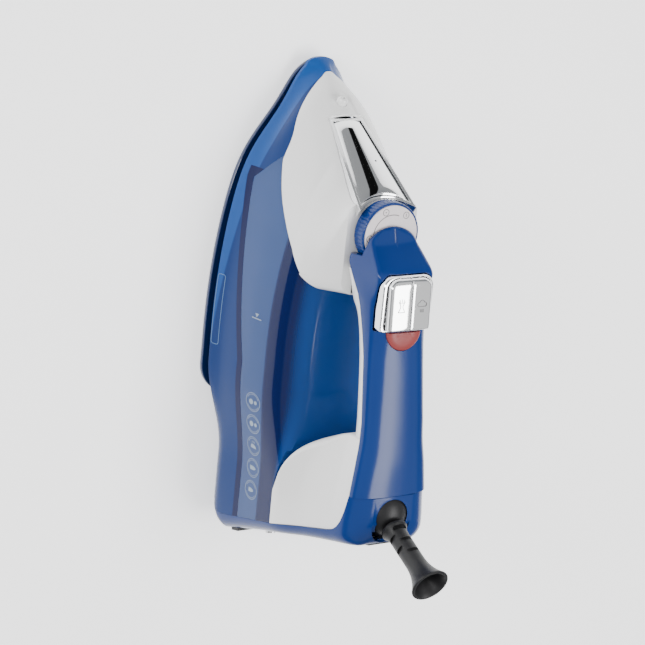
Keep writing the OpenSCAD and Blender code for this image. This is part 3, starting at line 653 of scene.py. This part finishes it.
def moved(points, ds, dz):
    return [(s + ds, z + dz) for s, z in points]


def cover_line(z):
    return (cover_s(z), z)


COVER_TOP = [(250, 129.6), (256, 128.2), (260, 126), (262.6, 123.2)]
COVER_EDGE = [(239, 131)] + COVER_TOP + [cover_line(119), cover_line(76), cover_line(24)]


def skirt_view():
    return ([(-8, 8)] + moved([p for p in HOOD_EDGE if p[0] < 51.5], 0, -SEAM)
            + [(TANK_NOSE[0], TANK_NOSE[1] - SEAM)]
            + moved(TANK_LOW, 0, -SEAM)
            + [(cover_s(42.2) - SEAM, 42.2 - SEAM), (cover_s(24) - SEAM, 24), (cover_s(8) - SEAM, 8)])


def hood_view():
    return HOOD_EDGE + [(124.4, 120), (-8, 120)]


def tank_view(i):
    """Side view of the tank, moved inwards by i on every side."""
    return ([(TANK_LOW[0][0] + i * 0.4, TANK_LOW[0][1] + i * 1.1),
             (TANK_NOSE[0] + i * 2.2, TANK_NOSE[1] - SEAM - i * 0.6)]
            + moved([p for p in HOOD_EDGE if p[0] > 52.5], i * 0.6 + SEAM, -SEAM - i * 0.9)
            + [(124.6 + i, TANK_TOP + 10), (leg_s(82) - 1, TANK_TOP + 10), (leg_s(82) - 1 - i, 79.5 - i),
               (leg_s(76) + 6, PATCH_Z - SEAM - i), (cover_s(76) - SEAM - i, PATCH_Z - SEAM - i),
               (cover_s(42.2) - SEAM - i, 42.2 + i),
               (TANK_LOW[2][0], TANK_LOW[2][1] + i), (TANK_LOW[1][0], TANK_LOW[1][1] + i)])


def leg_view():
    front = leg_s(82) - 0.9 + SEAM
    return [(front, TANK_TOP + SEAM), (170, TANK_TOP + SEAM), (170, 150), (203, split_z(203) - SEAM),
            (222, split_z(222) - SEAM), (239, 131 - SEAM), *moved(COVER_TOP, -SEAM, -SEAM),
            (cover_s(119) - SEAM, 119), (cover_s(76) - SEAM, PATCH_Z), (front, PATCH_Z)]


def cover_view():
    return [(239, 150)] + COVER_EDGE + [(cover_s(24), 0), (320, 0), (320, 150)]


SPLIT = [(97, DECK), (118, 112), (154, 121.5), (194, 128.5), (222, 130.5)]
TOP_VIEW = ([(70, 108.4), (96, 108.4), (97, DECK + SEAM)] + SPLIT[1:]
            + [(239 - SEAM, 131), (239 - SEAM, 150), (70, 150)])
LOWER_VIEW = [(105, DECK + SEAM), (105, 102.1 - SEAM)] + moved(SPLIT[1:4], 0, -SEAM) + [
    (203.4, 129.1 - SEAM), (203.4, 90), (HOOD_REAR + 0.2, 90), (HOOD_REAR + 0.2, DECK + SEAM)]

# ---- frames of the slope, the guard and the heel -------------------------

ON_SLOPE = shift(X(30), 0, 47) @ turn(180, "Z") @ turn(-53.13, "Y")
ON_GUARD = shift(X(252), 0, 128) @ turn(-23.6, "Y")
ON_HEEL = shift(X(FOOT_S), 0, FOOT_Z) @ turn(math.degrees(math.atan(SLOPE)), "Y")
AT_NOZZLE = shift(X(17.5), 0, 40.5) @ turn(51.5, "Y")
DOOR_LEN, NARROW, WIDE, RIM, POCKET, BOW = 57.4, 9.5, 16.6, 2.6, 5.0, 30.0
DIAL_S, DIAL_Z, DIAL_R, DIAL_H = 85.0, 96.8, 20.0, 10.0
BALL_R = 15.8
BUTTON_S, BUTTON_LEN, BUTTON_W, BUTTON_CORNER, BUTTON_END = 104.2, 31.0, 14.8, 6.0, 1.2
BEZEL_FRONT, BEZEL_END, BEZEL_W, PUMP_S, PUMP_Y = 102.6, 137.2, 18.4, 115, 8
LENS_S, LENS_R = 137.6, 11.6


def door_outline(g, n=14):
    """Outline of the fill cover in the slope's frame, grown by g; its wide end curves round the dial."""
    slant = (WIDE + 0.9 - NARROW) / (DOOR_LEN + 8)
    r, cx = BOW, DOOR_LEN + BOW + g
    lo, hi = 0.0, DOOR_LEN + 8 + g
    for _ in range(40):
        u = (lo + hi) / 2
        v = NARROW + g + slant * (u + g) * (DOOR_LEN + 8) / (DOOR_LEN + 8 + 2 * g)
        lo, hi = (u, hi) if (u - cx) ** 2 + v * v > r * r else (lo, u)
    edge = math.asin(min(1, v / r))
    arc = [(cx - r * math.cos(edge * t), r * math.sin(edge * t)) for t in np.linspace(1, -1, 2 * n + 1)]
    return [(-g, NARROW + g)] + arc + [(-g, -NARROW - g)]


def door_prism(g, z0, z1):
    return placed(prism("door", door_outline(g), lambda u, v, e: (u, v, z1 if e else z0)), ON_SLOPE)


# ---- pieces: sole --------------------------------------------------------

def make_sole():
    edge = [(1.5, 0.0), (0.8, 0.12), (0.3, 0.45), (0.05, 0.9), (0.0, 1.4), (0.0, 2.8),
            (0.1, 3.3), (0.35, 3.6)]
    o = loft("sole", [both_sides(sole_half(inset), z) for inset, z in edge])
    join(o, plan_plate(sole_half(9), 3.4, 13.0))
    well = cut(plan_plate(sole_half(14), 6.5, 14.0), block((X(220), -27, 0), (X(63), 27, 20)))
    cut(o, well)
    for side in (-1, 1):
        y = side * 20
        cut(o, block((X(194), y - 3.6, 5.8), (X(92), y + 3.6, 20)))
    ring = cut(rod(92, 0, 5.8, 20, 23.6), rod(92, 0, 0, 30, 16.4),
               block((X(92) - 60, -40, -1), (X(92), 40, 30)))
    cut(o, ring)
    for i in range(1, 10):
        s = 40 + 136 * i / 9
        for side in (-1, 1):
            cut(o, rod(s, side * sole_w(s, 20), -1, 9, 1.2, 24))
    for s in (32, 40, 48):
        cut(o, rod(s, 0, -1, 9, 1.2, 24))
    finish(o, "soleplate_smooth", "blue_coat", "body", ["soleplate"])


# ---- pieces: shells ------------------------------------------------------

def make_skirt():
    o = keep(level_solid(body_half, 0, 9.6, 50), side_slab(skirt_view()))
    inner = level_solid(body_half, WALL, 8.6, 52)
    cut(inner, side_slab([(217, 0), (217, 12), (320, 12), (320, 0)]))
    cut(o, inner, side_slab([(cover_s(0) + 0.2, 0), (cover_s(0) + 0.2, 60), (320, 60), (320, 0)]))
    finish(o, "skirt_smooth", "blue_plastic", "body", ["skirt"], look="skirt_blue", sharp=11)


def make_tank():
    o = keep(level_solid(body_half, 0, 18, TANK_TOP), side_slab(tank_view(0)))
    inner = keep(level_solid(body_half, WALL, 18, TANK_TOP - WALL), side_slab(tank_view(WALL)))
    cut(inner, rod(85, 0, 10, 90, 6.4), rod(92, 12, 10, 90, 6))
    cut(o, inner, rod(85, 0, 10, 90, 4.2), rod(92, 12, 10, 90, 1.9), rod(92, 12, 10, 32, 4.1),
        placed(can(8.1, -42, -10), ON_SLOPE @ shift(22, 0, 0)))
    finish(o, "tank_smooth", "tank_blue", "body", ["water_tank"], sharp=24)


def dent(o, half=8.6, depth=0.8, soft=1.8):
    """A shallow arch-shaped recess round the nozzle that runs up to the fill cover."""
    back = AT_NOZZLE.inverted()
    out = AT_NOZZLE.to_3x3() @ Vector((0, 0, 1))
    for v in o.data.vertices:
        p = back @ v.co / MM
        if p.z > -12:
            d = math.hypot(max(0.0, p.x), p.y)
            v.co -= out * depth * MM * (1 - ease(half - soft, half, d))


def make_hood():
    o = level_solid(hood_half, 0, 14, DECK)
    dent(o)
    keep(o, side_slab(hood_view()))
    cut(o, level_solid(hood_half, WALL, 13, DECK - WALL),
        placed(block((-3.2, -50, 0.4), (117, 50, 40)), ON_SLOPE),
        door_prism(RIM + 0.1, -POCKET - 0.1, 15),
        rod(85, 0, 80, 120, 3.8), block((X(123), -17, 80), (X(107), 17, 120)),
        placed(can(3.7, -14, 6), AT_NOZZLE), placed(ball(7.6), AT_NOZZLE @ shift(0, 0, 5.2)))
    finish(o, "hood_smooth", "white_plastic", "body", ["front_hood"], sharp=24)


def make_nozzle():
    o = turned("nozzle", [(0, -10), (3.3, -10), (3.5, -9.8), (3.5, -0.9), (3.3, -0.4), (2.5, 1.2), (2.2, 1.5),
                          (0, 1.5)])
    cut(o, can(0.6, -6, 4, 24), can(1.5, -10.5, -6.4, 24))
    placed(o, AT_NOZZLE)
    finish(o, "nozzle_smooth", "white_plastic", "body", ["spray_nozzle"])


def dial_well():
    return rod(DIAL_S, 0, 90, 108.5, DIAL_R + 0.7, 96)


def behind_lens(top):
    return block((X(LENS_S + 30), -30, 100), (X(LENS_S), 30, top))


def make_top_shell():
    o = keep(handle_solid(0, 79, 240), side_slab(TOP_VIEW))
    inner = cut(handle_solid(WALL, 98, 239.5), side_slab([(90, 0), (90, 150), (101, 150), (101, 0)]))
    lens = keep(rod(LENS_S, 0, 120, 150, LENS_R + 0.15), behind_lens(160))
    pad = pad_prism(X(BEZEL_END + 0.1), X(BEZEL_FRONT - 0.1), BEZEL_W + 0.1, 7.1, 1.0, 100, 160)
    cut(o, inner, dial_well(), pad, lens)
    finish(o, "top_shell_smooth", "blue_plastic", "body", ["handle_top_shell"], sharp=30)


def make_lower_shell():
    o = keep(handle_solid(0, 104, 205), side_slab(LOWER_VIEW))
    inner = cut(handle_solid(WALL, 104, 206), side_slab([(100, 0), (100, 150), (107.4, 150), (107.4, 0)]))
    cut(o, inner, block((X(122), -16, 80), (X(109), 16, 100)), dial_well())
    finish(o, "lower_shell_smooth", "white_plastic", "body", ["handle_lower_shell"], sharp=30)


def make_side_shell():
    o = keep(level_solid(leg_half, 0, 75, 133), side_slab(leg_view()))
    cut(o, level_solid(leg_half, WALL, 74, 134))
    finish(o, "side_shell_smooth", "white_plastic", "body", ["rear_side_shell"], sharp=28)


def heel_pads(grow):
    out = []
    for y in (-34, 34):
        out.append(block((-1.2 - grow, y - 9 - grow, 3 - grow), (2.2, y + 9 + grow, 11 + grow)))
    out.append(block((-1.2 - grow, -9 - grow, 104 - grow), (3.2, 9 + grow, 111 + grow)))
    return [placed(o, ON_HEEL) for o in out]


def make_cover():
    o = keep(level_solid(heel_half, 0, 10, 140, inner=(14, 24, 138)), side_slab(cover_view()))
    inner = cut(level_solid(heel_half, WALL, 12.4, 137.4),
                side_slab([(200, 12), (200, 150), (238, 150), (238, 12)]))
    cut(o, inner, placed(ball(BALL_R + 0.5), ON_GUARD), placed(can(13.4, 12.5, 52.5, 96), ON_GUARD),
        *heel_pads(0.05))
    for y, z in ((30, 30), (-30, 30), (0, 84)):
        at = ON_HEEL @ shift(0, y, z) @ turn(90, "Y")
        cut(o, placed(can(1.7, -9, 21, 32), at), placed(can(3.6, -9, 1, 48), at))
    finish(o, "cover_smooth", "blue_plastic", "body", ["rear_cover"], sharp=30)


# ---- pieces: chrome ------------------------------------------------------

def make_fill_frame():
    o = door_prism(RIM, -POCKET, 0.5)
    cut(o, door_prism(0.4, -POCKET + 1.5, 3), placed(can(6.8, -POCKET - 1, 2), ON_SLOPE @ shift(22, 0, 0)))
    finish(o, "fill_frame_smooth", "chrome", "body", ["fill_frame"])


def make_fill_door():
    """The cover is crowned across its width and has rounded long edges."""
    out = door_outline(0)
    arc = out[1:-1]
    rows, cols = 24, 28
    verts, top = [], {}
    for i in range(rows + 1):
        for j in range(cols + 1):
            a = arc[round((len(arc) - 1) * j / cols)]
            side = mix(1, -1, j / cols)
            start = (0.7, NARROW * side)
            u, v = mix(start[0], a[0], i / rows), mix(start[1], a[1], i / rows)
            half = mix(NARROW, WIDE, i / rows)
            across = clamp01(1 - (v / half) ** 2)
            lift = 3.4 * across - 0.4 + 0.4 * min(1, across * 8)
            lift *= mix(0.75, 1, ease(0, 0.08, i / rows)) * mix(1, 0.85, ease(0.95, 1, i / rows))
            top[i, j] = len(verts)
            verts.append((u, v, lift))
    n = len(verts)
    verts += [(u, v, -2.4) for u, v, _ in verts]
    faces = []
    for i in range(rows):
        for j in range(cols):
            q = (top[i, j], top[i + 1, j], top[i + 1, j + 1], top[i, j + 1])
            faces += [q, tuple(k + n for k in reversed(q))]
    rim = ([top[0, j] for j in range(cols)] + [top[i, cols] for i in range(rows)]
           + [top[rows, j] for j in range(cols, 0, -1)] + [top[i, 0] for i in range(rows, 0, -1)])
    faces += [(a, b, b + n, a + n) for a, b in zip(rim, rim[1:] + rim[:1])]
    o = raw("door", verts, faces)
    outward(o.data)
    placed(o, ON_SLOPE)
    for side in (-1, 1):
        knuckle = placed(can(1.5, -2, 2, 32), ON_SLOPE @ shift(2.2, side * 5, -1.6) @ turn(90, "X"))
        join(o, knuckle)
    cut(o, placed(can(0.86, -20, 20, 32), ON_SLOPE @ shift(2.2, 0, -1.6) @ turn(90, "X")))
    cut(o, placed(can(0.75, 1.0, 6, 24), ON_SLOPE @ shift(33, 5.0, 0)))
    finish(o, "fill_door_smooth", "chrome", "fill_cover", ["fill_door"], sharp=40)
    dot = turned("dot", [(0, 0.9), (0.74, 0.9), (0.74, 2.3), (0.5, 2.45), (0, 2.5)], 32)
    placed(dot, ON_SLOPE @ shift(33, 5.0, 0))
    finish(dot, "fill_door_dot", "chrome", "fill_cover", look="slot_black")


def round_rect(x0, y0, x1, y1, r, n=8, back=None):
    """A rounded rectangle; back is the corner radius on the x0 side, if it differs."""
    pts = []
    b = r if back is None else back
    corners = ((x1 - r, y1 - r, r, 0), (x0 + b, y1 - b, b, 90),
               (x0 + b, y0 + b, b, 180), (x1 - r, y0 + r, r, 270))
    for cx, cy, q, a in corners:
        pts += [(cx + q * cosd(a + 90 * i / n), cy + q * sind(a + 90 * i / n))
                for i in range(n + 1)]
    return pts


def pad_prism(x0, x1, half, front, back, z0, z1):
    """A flat block along X with rounded corners, front and back."""
    outline = round_rect(x0, -half, x1, half, front, 12, back)
    return prism("pad", outline, lambda u, v, e: (u, v, z1 if e else z0))


def make_bezel():
    rings = []
    for g, z in ((0.6, 124), (0.5, 128.4), (0.6, 129.8), (0.9, 130.9), (1.4, 131.5), (2.0, 131.6)):
        outline = round_rect(X(BEZEL_END) + g * 0.3, g - BEZEL_W, X(BEZEL_FRONT) - g * 0.7, BEZEL_W - g,
                             7.0, 12, 2.4)
        rings.append([(x, y, z) for x, y in outline])
    o = loft("bezel", rings)
    cut(o, pad_prism(X(135.7), X(103.7), 15.5, 6.6, 1.4, 126, 146), rod(PUMP_S, PUMP_Y, 120, 130, 3.5),
        rod(PUMP_S, -PUMP_Y, 120, 130, 3.5))
    finish(o, "bezel_smooth", "chrome", "body", ["button_bezel"])
    # a black ring lining the gap between the bezel and the buttons: painted shade in the gap
    gap_shade = cut(pad_prism(X(135.75), X(103.65), 15.55, 6.65, 1.45, 127.2, 130.9),
                pad_prism(X(135.45), X(103.95), 15.2, 6.4, 1.2, 126, 140))
    finish(gap_shade, "bezel_gap_shade", "chrome", "body", look="slot_black")


def dip(r, q):
    """How far a round edge of radius r has fallen at the share q of its width."""
    return r * (1 - math.sqrt(max(0.0, 1 - q * q)))


def button_top(s):
    """Height of a button's crest along its length, rounded at both ends."""
    front, back = BUTTON_S, BUTTON_S + BUTTON_LEN
    base = mix(135.5, 137.4, (s - front) / (back - front))
    if s < front + 5.0:
        base -= dip(3.2, 1 - (s - front) / 5.0)
    if s > back - BUTTON_END:
        base -= dip(BUTTON_END, 1 - (back - s) / BUTTON_END)
    return base


def make_button(side, name, body):
    low, inner, edge, outer_edge, crown = 131.5, 0.22, 0.4, 2.6, 0.35
    front, back = BUTTON_S + BUTTON_CORNER, BUTTON_S + BUTTON_LEN - BUTTON_END
    stations = [BUTTON_S + BUTTON_CORNER * (1 - math.cos(math.pi / 2 * i / 14)) for i in range(15)]
    stations += [mix(front, back, i / 20) for i in range(1, 21)]
    stations += [back + BUTTON_END * math.sin(math.pi / 2 * i / 6) for i in range(1, 7)]
    rings = []
    for s in stations:
        top = button_top(s)
        outer = BUTTON_W - dip(BUTTON_CORNER, max(0.0, front - s) / BUTTON_CORNER)
        outer -= dip(BUTTON_END, max(0.0, s - back) / BUTTON_END)
        flat, side_top = outer - outer_edge, top - crown
        drop = min(2.8, side_top - low - 0.3)
        ring = [(inner, low), (inner, top - edge)]
        ring += [(inner + edge - edge * cosd(15 * i), top - edge + edge * sind(15 * i)) for i in range(1, 7)]
        ring += [(mix(inner + edge, flat, i / 8), top - crown * (i / 8) ** 2) for i in range(1, 9)]
        ring += [(flat + outer_edge * sind(90 * i / 14), side_top - drop * (1 - cosd(90 * i / 14)))
                 for i in range(1, 15)]
        ring += [(outer, low)]
        rings.append([(X(s), side * y, z) for y, z in ring])
    o = loft(name, rings)
    finish(o, f"{name}_smooth", "chrome", body, [name], sharp=40)


def make_lens():
    crown = [(0, 133.0), (4, 132.95), (8, 132.7), (10.6, 132.2), (11.4, 131.6)]
    o = turned("lens", crown + [(LENS_R, 131.0), (LENS_R, 127), (0, 127)], 128)
    placed(o, shift(X(LENS_S), 0, 0))
    keep(o, behind_lens(160))
    for k in range(-10, 11):
        cut(o, placed(can(0.22, -1, 14, 12), shift(X(LENS_S - 0.6), k * 1.05, 133.12) @ turn(-90, "Y")))
    finish(o, "lens_smooth", "red_lens", "body", ["indicator_lens"], sharp=30)


# ---- pieces: dial --------------------------------------------------------

def make_dial():
    profile = [(17.0, 0.0, 0), (19.2, 0.0, 0), (19.8, 0.5, 0.2), (20.0, 1.2, 0.6), (20.0, 1.8, 1),
               (20.0, 8.6, 1), (19.9, 9.1, 0.6), (19.5, 9.7, 0.2), (19.0, 10.0, 0), (18.7, 10.0, 0),
               (18.5, 9.8, 0), (18.5, 8.8, 0)]
    knurls, per = 48, 8
    count = knurls * per
    rings = []
    for r, z, depth in profile:
        ring = []
        for j in range(count):
            a = math.tau * j / count
            wave = max(0.0, math.cos(knurls * a)) ** 2
            rr = r - 0.38 * depth * wave
            ring.append((X(DIAL_S) + rr * math.cos(a), rr * math.sin(a), DIAL_Z + z))
        rings.append(ring)
    o = loft("ring", rings)
    cut(o, rod(85, 0, DIAL_Z - 1, DIAL_Z + 5, 3.02))
    finish(o, "dial_ring_smooth", "blue_plastic", "dial", ["dial_ring"], sharp=40)
    z0, z1 = DIAL_Z + DIAL_H - 1.18, DIAL_Z + DIAL_H + 0.12
    edge = [(0, z0), (18.3, z0), (18.45, z0 + 0.15), (18.45, z1 - 0.25), (18.2, z1), (0, z1)]
    disc = placed(turned("disc", edge, 128), shift(X(DIAL_S), 0, 0))
    finish(disc, "dial_disc_smooth", "grey_print", "dial", ["dial_disc"])


# ---- pieces: cord guard --------------------------------------------------

def make_guard():
    outer = [(0, -11.4), (8, -11.4), (8, -9.3), (5.4, -9.3), (5.4, 16.4), (7.4, 16.4), (8.2, 17.0),
             (8.3, 18.4), (7.2, 20.0), (6.5, 22), (6.2, 24), (6.2, 44)]
    outer += [(6.2 + 5.8 * (i / 12) ** 2.2, mix(44, 63.2, i / 12)) for i in range(1, 12)]
    outer += [(11.9, 63.0), (12.0, 63.5), (11.8, 63.9), (11.2, 64), (10.4, 64), (9.9, 63.5)]
    outer += [(3.8 + 6.1 * (i / 10) ** 2, mix(46, 63.2, i / 10)) for i in range(9, 0, -1)]
    outer += [(3.8, 46), (3.8, 45), (0, 45)]
    o = turned("guard", outer, 96)
    cut(o, can(3.8, -20, 60, 64))
    for i in range(5):
        for side in (-1, 1):
            slot = prism("slot", round_rect(-4.6, -1.25, 4.6, 1.25, 1.1),
                         lambda u, v, e, i=i, k=side: (k * (4.6 + 6.4 * e), u, 20.8 + 4.6 * i + v))
            cut(o, placed(slot, turn(90 * (i % 2), "Z")))
    placed(o, ON_GUARD)
    finish(o, "guard_smooth", "black_plastic", "guard", ["cord_guard"], sharp=35)
    b = ball(BALL_R)
    cut(b, can(5.47, -40, 40), block((-30, -30, -49), (30, 30, -9)))
    placed(b, ON_GUARD)
    finish(b, "swivel_ball_smooth", "black_plastic", "swivel", ["swivel_ball"], sharp=35)


# ---- printed marks -------------------------------------------------------

def stroke(points, width, closed=False):
    """Quads of a line of one width through 2D points, as (corner loop) lists."""
    p = [np.array(q, float) for q in points]
    n = len(p)
    sides = []
    for i in range(n):
        a = p[(i - 1) % n] if closed or i else p[i]
        b = p[(i + 1) % n] if closed or i < n - 1 else p[i]
        d = (b - a) / (np.linalg.norm(b - a) or 1)
        sides.append((p[i] + width / 2 * np.array((-d[1], d[0])), p[i] - width / 2 * np.array((-d[1], d[0]))))
    return sides, closed


def circle(cx, cy, r, a0=0.0, a1=360.0, n=40):
    full = abs(a1 - a0) >= 360
    count = n if full else n + 1
    return [(cx + r * cosd(mix(a0, a1, i / n)), cy + r * sind(mix(a0, a1, i / n)))
            for i in range(count)]


def printed(name, strokes, surface, body, look, slot):
    """Thin closed ribbons laid on a surface: surface(u, v, h) gives the point at height h above it."""
    verts, faces = [], []
    for sides, closed in strokes:
        n, base = len(sides), len(verts)
        for left, right in sides:
            for q, h in ((left, 0.07), (right, 0.07), (right, -0.05), (left, -0.05)):
                verts.append(surface(q[0], q[1], h))
        for i in range(n if closed else n - 1):
            a, b = base + 4 * i, base + 4 * ((i + 1) % n)
            faces += [(a + k, b + k, b + (k + 1) % 4, a + (k + 1) % 4) for k in range(4)]
        if not closed:
            faces += [tuple(base + k for k in range(4)), tuple(base + 4 * (n - 1) + k for k in (3, 2, 1, 0))]
    o = raw(name, verts, faces)
    outward(o.data)
    finish(o, name, slot, body, look=look)


def body_y(s, z):
    w, s0 = mid_w(z), nose_s(z)
    if s < FULL_S:
        deg = math.degrees(math.acos(1 - (s - s0) / (FULL_S - s0)))
        return w * sind(deg) - tip_slim(s, z, deg)
    return mix(w, rear_w(z), ease(188, 250, s))


def on_side(s0, z0, side=1):
    """Surface of the body's side: u runs up in z, v runs forward to the nose, about the point (s0, z0)."""
    def at(u, v, h):
        return (X(s0 - v), side * (body_y(s0 - v, z0 + u) + h), z0 + u)
    return at


def filled(points, rows=10):
    """A filled convex shape as stacked strokes."""
    p = np.array(points)
    out = []
    lo, hi = p[:, 1].min(), p[:, 1].max()
    for i in range(rows):
        y = mix(lo, hi, (i + 0.5) / rows)
        xs = []
        for a, b in zip(p, np.roll(p, -1, 0)):
            if (a[1] - y) * (b[1] - y) < 0:
                xs.append(a[0] + (b[0] - a[0]) * (y - a[1]) / (b[1] - a[1]))
        if len(xs) >= 2:
            a, b = min(xs), max(xs)
            out.append(stroke([(a, y), (mix(a, b, 0.5), y), (b, y)], (hi - lo) / rows * 1.02))
    return out


def make_marks():
    small_iron = [(-2.6, -1.4), (2.8, -1.4), (2.2, 0.0), (0.6, 1.0), (-1.8, 1.2), (-2.3, 0.4)]
    sole_sign = [(-2.8, -1.3), (0.4, -1.3), (2.0, -0.8), (3.2, 0.0), (2.0, 0.8), (0.4, 1.3), (-2.8, 1.3)]
    for i in range(5):
        marks = [stroke(circle(0, 0, 6.0), 0.30, True),
                 stroke(circle(0, 0, 5.0, 205, 335, 20), 0.25), stroke(circle(0, 0, 5.0, 25, 155, 20), 0.25)]
        if i < 2:
            marks += filled([(x - 0.6, y) for x, y in circle(-0.9, 0, 1.7)], 8)
            marks += filled(circle(2.3, 0, 1.2), 6)
        elif i == 2:
            marks += filled(small_iron, 8)
            marks += [stroke([(x, 2.0), (x, 3.2)], 0.35) for x in (-1.2, 0, 1.2)]
        else:
            marks += filled([(x * (1 if i == 3 else 0.85), y) for x, y in sole_sign], 8)
        for side, label in ((1, "left"), (-1, "right")):
            printed(f"round_mark_{label}_{i + 1}", marks, on_side(203 + 14.6 * i, 54, side), "body",
                    "print_pale", "tank_blue")
    level = [stroke([(k, 0) for k in range(-4, 5)], 0.6)]
    level += filled([(-1.5, 3.2), (1.5, 3.2), (0, 0.9)], 8)
    corner = [(y, x) for x, y in round_rect(-22.5, -2.8, 22.5, 2.8, 1.6)]
    outline = []
    for a, b in zip(corner, corner[1:] + corner[:1]):
        parts = max(1, round(abs(b[1] - a[1]) / 2))
        outline += [(mix(a[0], b[0], k / parts), mix(a[1], b[1], k / parts)) for k in range(parts)]
    for side, label in ((1, "left"), (-1, "right")):
        printed(f"level_mark_{label}", level, on_side(150, 51, side), "body", "print_pale", "tank_blue")
        # the skirt's engraved outline, drawn as a thin ribbon lighter than the skirt
        printed(f"skirt_outline_{label}", [stroke(outline, 0.45, True)], on_side(155, 13.2, side), "body",
                "skirt_outline_tone", "blue_plastic")


def on_dial(u, v, h):
    return (X(DIAL_S) + u, v, DIAL_Z + DIAL_H + 0.12 + h)


def make_dial_marks():
    marks = [stroke(circle(0, 0, 12.6, -20, 250, 64), 0.45)]
    for a, dots in ((-38, 0), (20, 1), (95, 2), (170, 3)):
        cx, cy = 15.2 * cosd(a), 15.2 * sind(a)
        marks.append(stroke(circle(cx, cy, 2.0, n=24), 0.36, True))
        for k in range(dots):
            marks += filled(circle(cx + (k - (dots - 1) / 2) * 1.0, cy, 0.38, n=10), 4)
        if not dots:
            marks.append(stroke([(cx - 1.0, cy), (cx + 1.0, cy)], 0.4))
    printed("dial_marks", marks, on_dial, "dial", "print_dark", "grey_print")


def on_button(side):
    def at(u, v, h):
        s = 120.0 - v
        return (X(s), side * 7.2 - u, button_top(s) - 0.06 + h)
    return at


def make_button_marks():
    spray = [stroke([(2.2 * k, -3.4), (0.8 * k, -0.4), (0.8 * k, 0.6), (2.2 * k, 3.2)], 0.36)
             for k in (-1, 1)]
    spray.append(stroke([(-2.2, -3.4), (2.2, -3.4)], 0.36))
    spray += [stroke([(0.9 * k, 1.8), (1.7 * k, 4.6 - 0.2 * abs(k))], 0.3) for k in (0, -1, 1)]
    printed("spray_mark", spray, on_button(1), "spray_key", "print_dark", "chrome")
    cloud = (circle(-1.9, 0.6, 1.3, 250, 90, 14) + circle(0.0, 1.5, 1.7, 165, 15, 16)
             + circle(1.9, 0.6, 1.3, 90, -70, 14))
    steam = [stroke(cloud, 0.36, True)]
    steam += [stroke([(x, -2.2), (x, -4.2)], 0.4) for x in (-1.0, 0, 1.0)]
    printed("steam_mark", steam, on_button(-1), "steam_key", "print_dark", "chrome")


def make_pointer():
    """The small raised pointer on the lip over the dial."""
    rings = []
    for t in np.linspace(0, 1, 14):
        s = mix(79.6, 90.0, t)
        crest = handle_top(max(s, 79.2)) - (0.15 if s < 79.2 else 0)
        w, h = mix(0.5, 1.0, t) * (1 - ease(0.8, 1, t) * 0.7), 0.75 * (1 - ease(0.55, 1, t) * 0.95)
        floor = crest - 2.0 if s > 80.5 else max(crest - 2.0, 108.8)
        section = [(-1, floor), (-1, crest - 0.1), (-0.5, crest + h * 0.6), (0, crest + h),
                   (0.5, crest + h * 0.6), (1, crest - 0.1), (1, floor)]
        rings.append([(X(s), w * y, z) for y, z in section])
    o = loft("pointer", rings)
    finish(o, "dial_pointer", "blue_plastic", "body", sharp=50)


# ---- build ---------------------------------------------------------------

make_camera()
FLOOR = 4000
corners = [(x * FLOOR, y * FLOOR, -0.4) for x, y in ((-1, -1), (1, -1), (1, 1), (-1, 1))]
floor = raw("floor", corners, [(0, 1, 2, 3)])
paper = material("floor_paper", (0.93, 0.93, 0.93), (0.95, 0.95, 0.95), (0.55, 0.7), 0.05, 60, edge=0)
paper.node_tree.nodes["Principled BSDF"].inputs["Emission Color"].default_value = (1, 1, 1, 1)
paper.node_tree.nodes["Principled BSDF"].inputs["Emission Strength"].default_value = 1.0
floor.data.materials.append(paper)


def make_world():
    """A studio sky: dim round the horizon, bright overhead, with a dark flag ahead of the nose."""
    world = bpy.data.worlds.new("studio")
    world.use_nodes = True
    tree = world.node_tree
    back = tree.nodes["Background"]
    where = tree.nodes.new("ShaderNodeTexCoord")
    split = tree.nodes.new("ShaderNodeSeparateXYZ")
    tree.links.new(where.outputs["Generated"], split.inputs["Vector"])
    sky = ramp(tree, split.outputs["Z"], (0.0, (0.42, 0.43, 0.44)), (0.80, (1.0, 1.0, 1.0)),
               (0.42, (0.30, 0.31, 0.33)), (0.52, (0.95, 0.96, 0.98)))
    across, ahead = (wired(tree, "ShaderNodeVectorMath", "DOT_PRODUCT", where.outputs["Generated"], axis)
                     for axis in ((0.342, 0.940, 0.0), (0.940, -0.342, 0.0)))
    aside = wired(tree, "ShaderNodeMath", "ABSOLUTE", across)
    score = wired(tree, "ShaderNodeMath", "SUBTRACT", ahead, aside)
    flag = ramp(tree, score, (0.84, (1, 1, 1)), (0.86, (0.02, 0.02, 0.02)))
    both = tree.nodes.new("ShaderNodeMix")
    both.data_type = "RGBA"
    both.blend_type = "MULTIPLY"
    both.inputs["Factor"].default_value = 1.0
    tree.links.new(sky, both.inputs["A"])
    tree.links.new(flag, both.inputs["B"])
    tree.links.new(both.outputs["Result"], back.inputs["Color"])
    back.inputs["Strength"].default_value = 0.9
    bpy.context.scene.world = world


make_world()
area_light("soft_left", (0.30, 1.15, 0.55), (-0.05, 0, 0.06), 0.35, 1.0, 12)
area_light("soft_top", (-0.10, -0.45, 1.25), (-0.05, 0, 0.06), 1.0, 0.5, 16)

make_sole()
make_skirt()
make_tank()
make_hood()
make_nozzle()
make_top_shell()
make_lower_shell()
make_side_shell()
make_cover()
make_fill_frame()
make_fill_door()
make_bezel()
make_button(1, "spray_button", "spray_key")
make_button(-1, "steam_button", "steam_key")
make_lens()
make_dial()
make_guard()
make_marks()
make_dial_marks()
make_button_marks()
make_pointer()

slots = {row["node"]: row["material_slot"] for row in frame["record"]["subparts"]}
for node, o in frame["nodes"].items():
    o.data.materials.clear()
    o.data.materials.append(MATERIALS[slots[node]])
